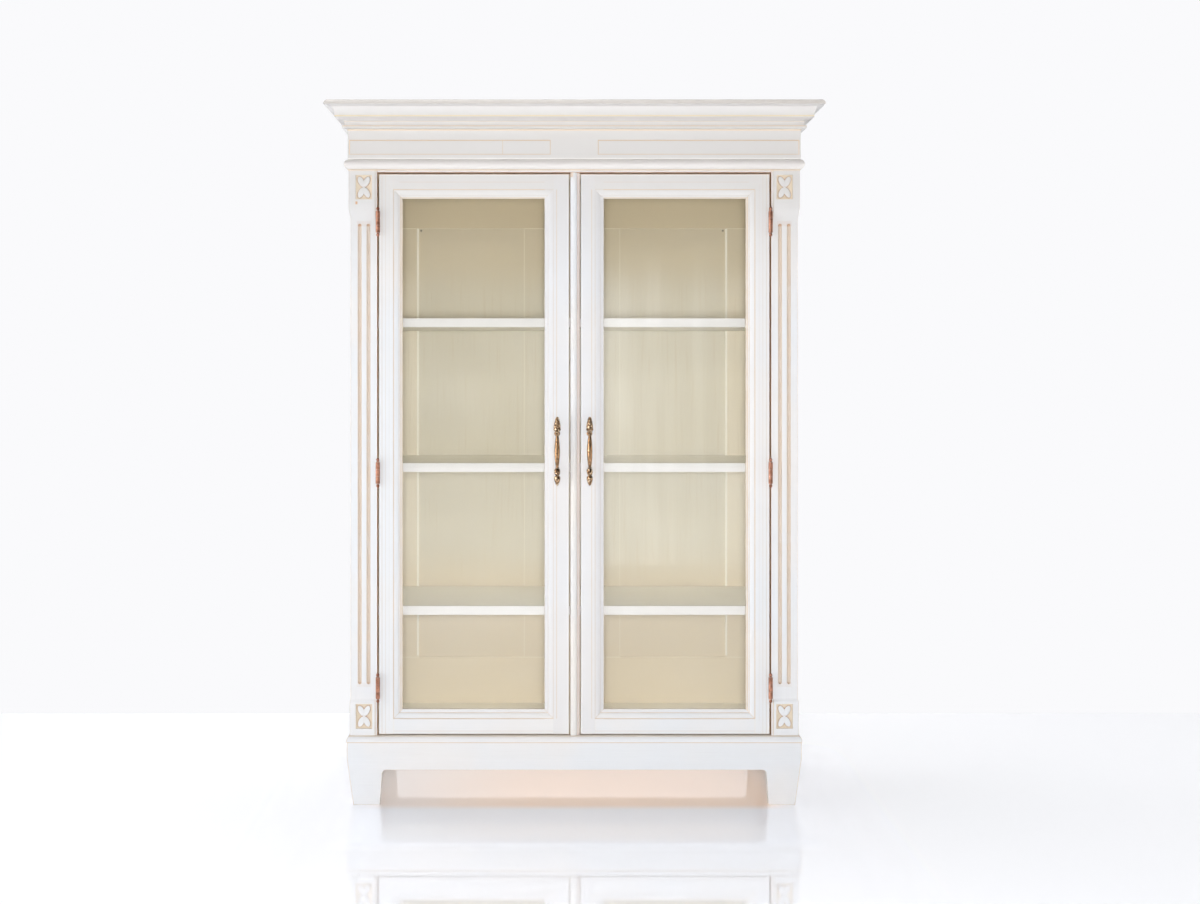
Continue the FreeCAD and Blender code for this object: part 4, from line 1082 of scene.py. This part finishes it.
@dataclass(frozen=True)
class PullHandle:
    """Cast pull: a swelling grip between collars, a scaled bud above, a lobed knob and an acorn below."""

    side: Side
    axis_y: float = -199.6
    middle_z: float = 1010.0
    door_face: float = -173.6
    grip_sides: int = 40
    post_sides: int = 28
    bud_sides: int = 9
    bud_twist: float = 20.0
    post_levels: tuple[float, float] = (49.5, -56.5)
    scales_from: float = 61.0
    scale_steps: tuple[tuple[float, float], ...] = ((0.75, 0.9), (0.7, 0.35))
    grip_turning: Profile = (
        (3.2, -47.5), (5.2, -47), (5.6, -46), (5.2, -45), (3.7, -44.6), (3.9, -43), (5.4, -35), (6.9, -22), (7.7, -8),
        (7.9, 2), (7.4, 14), (6.2, 28), (4.9, 38), (4.0, 43.5), (3.6, 45), (4.8, 45.6), (5.4, 46.6), (4.8, 47.6),
        (3.6, 48.2), (3.4, 53.0), (5.4, 53.6), (5.9, 54.6), (5.4, 55.6), (3.8, 56.2))
    bud_turning: Profile = ((4.4, 59), (8.6, 62), (9.6, 66), (9.5, 71), (8.7, 76.5), (7.5, 82), (6.1, 87.5),
                            (4.5, 92.5), (2.6, 96.5), (1.2, 98))
    post_turning: Profile = ((8.2, 0), (8.2, 1.0), (7.4, 2.0), (6.4, 2.4), (5.6, 3.2), (3.9, 4.4), (3.4, 8), (3.3, 14),
                             (3.8, 20), (4.6, 24))
    lobe_margin: float = 0.5
    knobs: tuple[tuple[str, int, float, Profile], ...] = (
        ("cup", 12, 0.7, ((3.6, 55.5), (6.8, 57), (9.6, 60), (10.3, 63), (9.4, 65.5), (6.0, 66.0))),
        ("knob", 10, 0.9, ((3.4, -67), (6.2, -66), (7.9, -61.5), (8.1, -56), (6.6, -51), (3.6, -48))),
        ("acorn", 9, 0.8, ((0.9, -97), (2.6, -95), (5.6, -89), (8.0, -82.5), (9.0, -77), (8.4, -72.5), (5.6, -69.2),
                           (3.2, -67))),
    )

    def foot(self) -> Triple:
        """The point on the grip's axis level with its middle, in metres."""
        return (self.side.pull_x * MM, self.axis_y * MM, self.middle_z * MM)

    def grip(self) -> Piece:
        """Turn the grip with its collars."""
        return Bench.whole(Bench.turned("grip", self.foot(), self.grip_turning, self.grip_sides), TURNED)

    def bud(self) -> Piece:
        """Cast the upper bud: spiral rows of scales over a cup of leaves.

        Returns:
            The bud.
        """
        piece = Bench.turned("bud", self.foot(), self.bud_turning, self.bud_sides, twist=self.bud_twist)
        low = (self.middle_z + self.scales_from) * MM
        Bench.choose(piece, lambda face: len(face.verts) == 4 and face.calc_center_median().z > low)
        for inset, lift in self.scale_steps:
            bpy.ops.mesh.inset(thickness=inset * MM, depth=lift * MM, use_individual=True)
        return Bench.cast(piece)

    def lobed(self, name: str, lobes: int, push: float, profile: Profile) -> Piece:
        """Cast a knob whose strips swell into lobes.

        Args:
            name: The part's name.
            lobes: How many lobes stand round it.
            push: How far a lobe swells, in millimetres.
            profile: Radius and height over the grip's middle, in millimetres.

        Returns:
            The knob.
        """
        piece = Bench.turned(name, self.foot(), profile, lobes)
        Bench.choose(piece, lambda face: len(face.verts) == 4)
        bpy.ops.mesh.inset(thickness=self.lobe_margin * MM, depth=push * MM, use_individual=True)
        return Bench.cast(piece)

    def post(self, level: float) -> Piece:
        """Turn a post that carries the grip, with its rose on the door.

        Args:
            level: Height over the grip's middle, in millimetres.

        Returns:
            The post.
        """
        reach = self.door_face - self.axis_y
        foot = (self.side.pull_x * MM, self.door_face * MM, (self.middle_z + level) * MM)
        profile = (*self.post_turning, (4.2, reach), (2.0, reach + 3))
        return Bench.whole(Bench.turned("post", foot, profile, self.post_sides, Way.DEEP), TURNED)

    def build(self, paints: Paints) -> None:
        """Cast the whole pull and fix it to its door.

        Args:
            paints: The finishes.
        """
        side = self.side
        parts = [self.grip(), self.bud(), *(self.lobed(*knob) for knob in self.knobs),
                 *(self.post(level) for level in self.post_levels)]
        made = Bench.joined(f"{side.word}_pull", parts)
        Bench.dressed(made, paints.brass)
        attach(made, f"{side.word}_door")
        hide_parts(f"{side.word}_door_handle")
        LOG.info("built %s", made.name)


@dataclass(frozen=True)
class HingeSet:
    """Six hinge pins with turned finials."""

    axis_x: float = 558.6
    axis_y: float = -182.0
    levels: tuple[float, ...] = (1662.0, 948.0, 336.0)
    sides: int = 20
    finial: Profile = ((2.5, 29.8), (5.2, 30.0), (5.2, 31.4), (3.1, 32.2), (2.9, 33.0), (4.3, 35.0), (4.8, 37.2),
                       (4.1, 39.6), (2.4, 41.6), (1.9, 42.3), (1.7, 43.0), (0.6, 43.4))

    def build(self, paints: Paints) -> None:
        """Turn one pin and copy it to the six hinges.

        Args:
            paints: The finishes.
        """
        stations = [(radius, -level) for radius, level in reversed(self.finial)] + list(self.finial)
        pattern = Bench.whole(Bench.turned("pin", (0, 0, 0), stations, self.sides), TURNED)
        places = [moved(side.value * self.axis_x, self.axis_y, level) for side in Side for level in self.levels]
        made = Bench.spread(pattern, "turned_hinge_pins", places)
        Bench.dressed(made, paints.bronze)
        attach(made, "carcass")
        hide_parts("hinge_pins")
        LOG.info("built %s", made.name)


@dataclass(frozen=True)
class Screws:
    """Slotted screws of the hinge leaves, pulls and strikes; a head is its radius and how far it stands out.

    The head's turning and slot are shares of those two sizes.
    """

    leaf_y: float = -165.0
    leaf_spread: float = 20.0
    frame_leaf_x: float = 559.1
    door_leaf_x: float = 558.1
    door_back: float = -153.6
    pull_levels: tuple[float, ...] = (953.5, 1059.5)
    strike_x: tuple[float, ...] = (27.0, 53.0)
    strike_back: float = -152.1
    strike_z: float = 1782.0
    leaf_head: tuple[float, float] = (3.0, 0.3)
    pull_head: tuple[float, float] = (4.2, 1.4)
    strike_head: tuple[float, float] = (1.9, 0.2)
    head_turning: Profile = ((1.0, 0.0), (1.0, 0.5), (0.8, 1.0), (0.3, 1.02))
    head_sides: int = 24
    head_smooth: float = 40.0
    slot_half: float = 0.14
    slot_deep: float = 0.6
    slot_turn: float = 37.0

    def head(self, radius: float, proud: float) -> Piece:
        """Cut one slotted head that looks along -Y, its underside on the plane Y = 0.

        Args:
            radius: The head's radius in millimetres.
            proud: How far it stands out, in millimetres.

        Returns:
            The head.
        """
        profile = [(radius * share, proud * level) for share, level in self.head_turning]
        piece = Bench.turned("head", (0, 0, 0), profile, self.head_sides, Way.DEEP)
        slot = radius * self.slot_half * MM
        for place in (-slot, slot):
            Bench.choose(piece, looks_front)
            bpy.ops.mesh.bisect(plane_co=(place, 0, 0), plane_no=(1, 0, 0))
        Bench.choose(piece, lambda face: looks_front(face) and abs(face.calc_center_median().x) < slot * 0.9)
        bpy.ops.mesh.extrude_region_move(TRANSFORM_OT_translate={"value": (0, proud * self.slot_deep * MM, 0)})
        return Bench.whole(piece, self.head_smooth)

    def set_of(self, name: str, body: str, places: Sequence[tuple[Triple, float]], size: tuple[float, float],
               paints: Paints) -> None:
        """Copy one head to several places of a body.

        Args:
            name: The set's name.
            body: The body that carries it.
            places: Each head's foot in millimetres and its turn about the upright axis in degrees.
            size: The heads' radius and how far they stand out, in millimetres.
            paints: The finishes.
        """
        changes = []
        for number, (foot, turn) in enumerate(places):
            spin = Matrix.Rotation(math.radians(self.slot_turn * number), 4, "Y")
            changes.append(moved(*foot) @ Matrix.Rotation(math.radians(turn), 4, "Z") @ spin)
        made = Bench.dressed(Bench.spread(self.head(*size), name, changes), paints.steel)
        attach(made, body)
        LOG.info("built %s", made.name)

    def build(self, paints: Paints) -> None:
        """Set every screw.

        Args:
            paints: The finishes.
        """
        frame_places = []
        for side in Side:
            door_places = []
            for level in HingeSet.levels:
                for shift in (-self.leaf_spread, 0.0, self.leaf_spread):
                    z = level + shift
                    frame_places.append(((side.value * self.frame_leaf_x, self.leaf_y, z), -side.value * 90.0))
                    door_places.append(((side.value * self.door_leaf_x, self.leaf_y, z), side.value * 90.0))
            self.set_of(f"{side.word}_leaf_screws", f"{side.word}_door", door_places, self.leaf_head, paints)
            backs = [((side.pull_x, self.door_back, level), 180.0) for level in self.pull_levels]
            self.set_of(f"{side.word}_pull_screws", f"{side.word}_door", backs, self.pull_head, paints)
            strikes = [((side.value * x, self.strike_back, self.strike_z), 180.0) for x in self.strike_x]
            self.set_of(f"{side.word}_strike_screws", f"{side.word}_door", strikes, self.strike_head, paints)
        self.set_of("frame_leaf_screws", "carcass", frame_places, self.leaf_head, paints)


@dataclass(frozen=True)
class Door:
    """One glazed door: moulded stiles and rails, glass, beads, leaves, strike and pull."""

    side: Side

    def build(self, paints: Paints) -> None:
        """Dress the door's nodes and fit its pull.

        Args:
            paints: The finishes.
        """
        coats = {"hinge_stile": paints.stile, "meeting_stile": paints.stile, "top_rail": paints.rail,
                 "bottom_rail": paints.rail, "glazing_beads": paints.upright, "glass": paints.glass,
                 "hinge_leaves": paints.bronze, "strike": paints.steel}
        for part, coat in coats.items():
            dress_node(f"{self.side.word}_door_{part}", coat)
        PullHandle(self.side).build(paints)


@dataclass(frozen=True)
class Lamp:
    """One soft rectangular lamp: where it hangs, the point that it faces, its size in metres and its light."""

    name: str
    place: Triple
    aim: Triple
    size: tuple[float, float]
    watts: float
    colour: Triple = (1.0, 0.99, 0.98)
    mirrored: bool = False
    fan: float = 180.0

    def hang(self) -> None:
        """Hang the lamp; only a mirrored one shows in glass and metal."""
        data = bpy.data.lights.new(self.name, "AREA")
        data.shape = "RECTANGLE"
        data.size, data.size_y = self.size
        data.energy = self.watts
        data.spread = math.radians(self.fan)
        data.color = self.colour
        lamp = bpy.data.objects.new(self.name, data)
        lamp.location = self.place
        lamp.rotation_euler = (Vector(self.aim) - Vector(self.place)).to_track_quat("-Z", "Y").to_euler()
        lamp.visible_camera = False
        lamp.visible_glossy = self.mirrored
        bpy.context.scene.collection.objects.link(lamp)


@dataclass(frozen=True)
class Studio:
    """Pale floor, soft light and the camera at the photograph's angle."""

    lens: float = 42.13
    camera_place: Triple = (-0.067, -4.1756, 1.239)
    shift: tuple[float, float] = (0.0411, -0.0679)
    sensor: float = 36.0
    farthest: float = 60.0
    side_light: float = 0.13
    top_light: float = 0.08
    floor_half: float = 14.0
    floor_low: float = -0.0005
    floor_light: float = 0.24
    floor_shine: float = 0.30
    floor_bend: float = 1.6
    floor_rough: float = 0.035
    floor_gloss: Colour = (0.98, 0.98, 1.0, 1.0)
    floor_tints: tuple[Colour, Colour] = (tone(244, 246, 252), tone(239, 242, 249))
    # Painted light on the floor: a cool reflection tint in front of the cabinet and a warm tint of bounced light under
    # it
    near_reflection_tint: Colour = tone(234, 239, 250)
    under_bounce_tint: Colour = tone(252, 222, 196)
    under_zone: tuple[Triple, Triple] = ((-0.58, 0.58, 0.06), (-0.19, 0.34, 0.03))
    near_zone: tuple[Triple, Triple] = ((-0.62, 0.62, 0.05), (-0.52, 0.36, 0.05))
    polished_zone: tuple[Triple, Triple] = ((-0.82, 0.80, 0.12), (-1.25, 0.42, 0.12))
    wall_y: float = 0.901
    wall_paint: Colour = tone(240, 240, 240)
    wall_glow: Colour = tone(250, 250, 252)
    window_place: Triple = (0.52, -5.0, 1.13)
    window_size: tuple[float, float] = (2.2, 2.24)
    window_tint: Colour = (0.97, 0.99, 1.0, 1.0)
    window_light: float = 1.8
    window_pane: Triple = (0.30, 0.68, 0.22)
    window_top: tuple[float, float] = (0.94, 0.70)
    fold_scale: float = 14.0
    side_window: float = 1.7
    side_pane: tuple[Triple, Triple] = ((-0.96, -0.34, 0.06), (-0.15, 0.8, 0.1))
    walls_dim: float = 0.72
    shade: float = 0.25
    bay_middle: tuple[float, float] = (0.31, 0.04)
    fill_levels: tuple[float, ...] = (0.533, 0.943, 1.358, 1.783)
    fill_size: tuple[float, float] = (0.46, 0.28)
    fill_watts: float = 0.15
    fill_fan: float = 115.0
    fill_colour: Triple = (1.0, 0.97, 0.90)
    front_lamps: tuple[Lamp, ...] = (
        Lamp("front", (-0.067, -4.2, 1.19), (-0.067, 0, 0.95), (0.4, 0.5), 98.0),
        Lamp("high", (-0.067, -4.6, 2.9), (-0.067, 0, 1.4), (1.2, 0.6), 20.0),
    )
    room_lamps: tuple[Lamp, ...] = (
        Lamp("left", (-5.0, -2.6, 0.7), (0, 0, 1.1), (0.6, 2.4), 86.0, (0.97, 0.985, 1.0), mirrored=True),
        Lamp("right", (5.0, -2.6, 0.7), (0, 0, 1.1), (0.6, 2.4), 34.0, mirrored=True),
        Lamp("overhead", (-0.6, 0.5, 4.8), (0, -0.7, 0), (2.4, 2.4), 130.0, (1.0, 1.0, 1.0), mirrored=True),
    )

    @staticmethod
    def plane(name: str, size: float, place: Triple, upright: bool) -> Piece:
        """Add a square of the studio.

        Args:
            name: Its name.
            size: Its width in metres.
            place: Its middle.
            upright: Whether it stands and faces the front.

        Returns:
            The square.
        """
        turn = (math.pi / 2, 0.0, 0.0) if upright else (0.0, 0.0, 0.0)
        bpy.ops.mesh.primitive_plane_add(size=size, location=place, rotation=turn)
        made = bpy.context.object
        made.name = name
        return made

    def floor(self) -> Piece:
        """Lay the pale floor, polished round the cabinet and plainly white farther out.

        Returns:
            The floor.
        """
        made = self.plane("studio_floor", 2 * self.floor_half, (0, 0, self.floor_low), upright=False)
        pot = Pot("floor_gloss")
        across, deep, _ = pot.parts(pot.place())
        under, near, polished = (pot.band(across, *wide) * pot.band(deep, *long) for wide, long in (
            self.under_zone, self.near_zone, self.polished_zone))
        tint = pot.mix(pot.noise(pot.place(), 1.2), *self.floor_tints)
        # Painted reflection in front of the cabinet, and painted warm bounce light under it.
        tint = pot.mix(near * 0.6, tint, self.near_reflection_tint)
        tint = pot.mix(under * (pot.rise(across, -0.62, -0.1) * 0.5 + 0.4), tint, self.under_bounce_tint)
        base = pot.node("ShaderNodeBsdfDiffuse", {}, {"Color": tint})
        lit = pot.node("ShaderNodeAddShader", {}, {0: base, 1: pot.glow(WHITE, self.floor_light)})
        shine = pot.node("ShaderNodeBsdfGlossy", {}, {"Color": self.floor_gloss, "Roughness": self.floor_rough})
        gloss = pot.blend(self.seen(pot) * (1.0 - polished), shine, pot.glow(self.wall_glow, 1.0))
        mirror = pot.node("ShaderNodeFresnel", {}, {"IOR": self.floor_bend}) + self.floor_shine
        return Bench.dressed(made, pot.surface(pot.blend(mirror * (1.0 - near * 0.5), lit, gloss)))

    def wall(self) -> Piece:
        """Raise the white wall, which is clear from behind.

        Returns:
            The wall.
        """
        made = self.plane("studio_wall", 2 * self.floor_half, (0, self.wall_y, self.floor_half), upright=True)
        pot = Pot("wall_white")
        paint = pot.node("ShaderNodeBsdfDiffuse", {}, {"Color": self.wall_paint})
        front = pot.blend(self.seen(pot), paint, pot.glow(self.wall_glow, 1.0))
        behind = pot.node("ShaderNodeNewGeometry", output="Backfacing")
        return Bench.dressed(made, pot.surface(pot.blend(behind, front, pot.clear(WHITE))))

    def window(self) -> Piece:
        """Hang a curtained window behind the camera, seen only as a soft veil on glass and metal.

        Returns:
            The window.
        """
        made = self.plane("studio_window", 1.0, self.window_place, upright=True)
        made.scale = (*self.window_size, 1.0)
        made.visible_camera = made.visible_diffuse = made.visible_transmission = made.visible_shadow = False
        pot = Pot("window_card")
        place = pot.node("ShaderNodeTexCoord", output="Generated")
        across, up, _ = pot.parts(place)
        folds = pot.rise(pot.noise(pot.stretched(place, (1.0, 0.05, 1.0)), self.fold_scale), 0.36, 0.6)
        pane = pot.band(across, *self.window_pane) * pot.rise(up, *self.window_top) * (folds * 0.6 + 0.5)
        glow = pot.glow(self.window_tint, self.window_light)
        return Bench.dressed(made, pot.surface(pot.blend(pane, pot.clear(WHITE), glow)))

    @staticmethod
    def seen(pot: Pot) -> Channel:
        """Tell rays that look at a thing, straight or in a reflection, from those that only light it.

        Args:
            pot: The nodes being mixed.

        Returns:
            1 for a ray that looks.
        """
        rays = pot.node("ShaderNodeLightPath", output="Is Camera Ray")
        outs = rays.socket.node.outputs
        return rays.highest(Channel(pot, outs["Is Glossy Ray"])).highest(Channel(pot, outs["Is Transmission Ray"]))

    def room(self, pot: Pot) -> Channel:
        """What reflections see: a room that darkens behind the camera, with a tall window on its left.

        Args:
            pot: The world's nodes.

        Returns:
            The room's brightness.
        """
        across, deep, up = pot.parts(pot.node("ShaderNodeTexCoord", output="Generated"))
        wide, high = self.side_pane
        window = pot.band(across, *wide) * pot.band(up, *high) * self.side_window
        shade = pot.rise(across, 0.2, 0.55) * pot.rise(deep, 0.6, 0.2) * self.shade
        walls = pot.rise(deep, 0.3, -0.3) * -self.walls_dim + 1.0 - shade
        return (walls + window).highest(pot.node("ShaderNodeLightPath", output="Is Camera Ray"))

    def sky(self) -> None:
        """Light the room softly from its sides; the camera sees plain white."""
        world = bpy.context.scene.world or bpy.data.worlds.new("studio")
        bpy.context.scene.world = world
        pot = Pot("studio", world)
        up = pot.parts(pot.node("ShaderNodeTexCoord", output="Generated"))[2]
        light = pot.rise(abs(up), 0.9, 0.0) * (self.side_light - self.top_light) + self.top_light
        strength = pot.node("ShaderNodeMix", {"data_type": "FLOAT"}, {0: self.seen(pot), 2: light, 3: self.room(pot)})
        pot.surface(pot.node("ShaderNodeBackground", {}, {"Color": WHITE, "Strength": strength}))

    def fill(self, side: Side, level: float) -> Lamp:
        """A weak warm lamp at a level in a bay, facing down.

        Args:
            side: Which bay.
            level: Its height in metres.

        Returns:
            The lamp.
        """
        across, deep = side.value * self.bay_middle[0], self.bay_middle[1]
        return Lamp(f"fill_{side.word}_{round(level * 1000)}", (across, deep, level), (across, deep, 0.0),
                    self.fill_size, self.fill_watts, self.fill_colour, fan=self.fill_fan)

    def camera(self) -> None:
        """Stand the camera where the photograph was taken."""
        data = bpy.data.cameras.new("camera")
        data.lens = self.lens
        data.sensor_width = self.sensor
        data.shift_x, data.shift_y = self.shift
        data.clip_end = self.farthest
        camera = bpy.data.objects.new("camera", data)
        camera.location = self.camera_place
        camera.rotation_euler = (math.pi / 2, 0.0, 0.0)
        bpy.context.scene.collection.objects.link(camera)
        bpy.context.scene.camera = camera

    def build(self) -> None:
        """Set up the whole studio."""
        bpy.ops.object.select_all(action="DESELECT")
        floor, wall, card = self.floor(), self.wall(), self.window()
        self.sky()
        fills = [self.fill(side, level) for side in Side for level in self.fill_levels]
        for lamp in (*self.front_lamps, *fills, *self.room_lamps):
            lamp.hang()
        self.camera()
        bpy.context.scene.view_settings.view_transform = "Standard"


def main() -> None:
    """Build and dress the cabinet, then the studio."""
    logging.basicConfig(level=logging.INFO, format="%(message)s")
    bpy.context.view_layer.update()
    paints = Paints()
    Carcass().dress(paints)
    TileSet().build(paints)
    HingeSet().build(paints)
    for side in Side:
        Door(side).build(paints)
    Screws().build(paints)
    Studio().build()


if __name__ == "__main__":
    main()
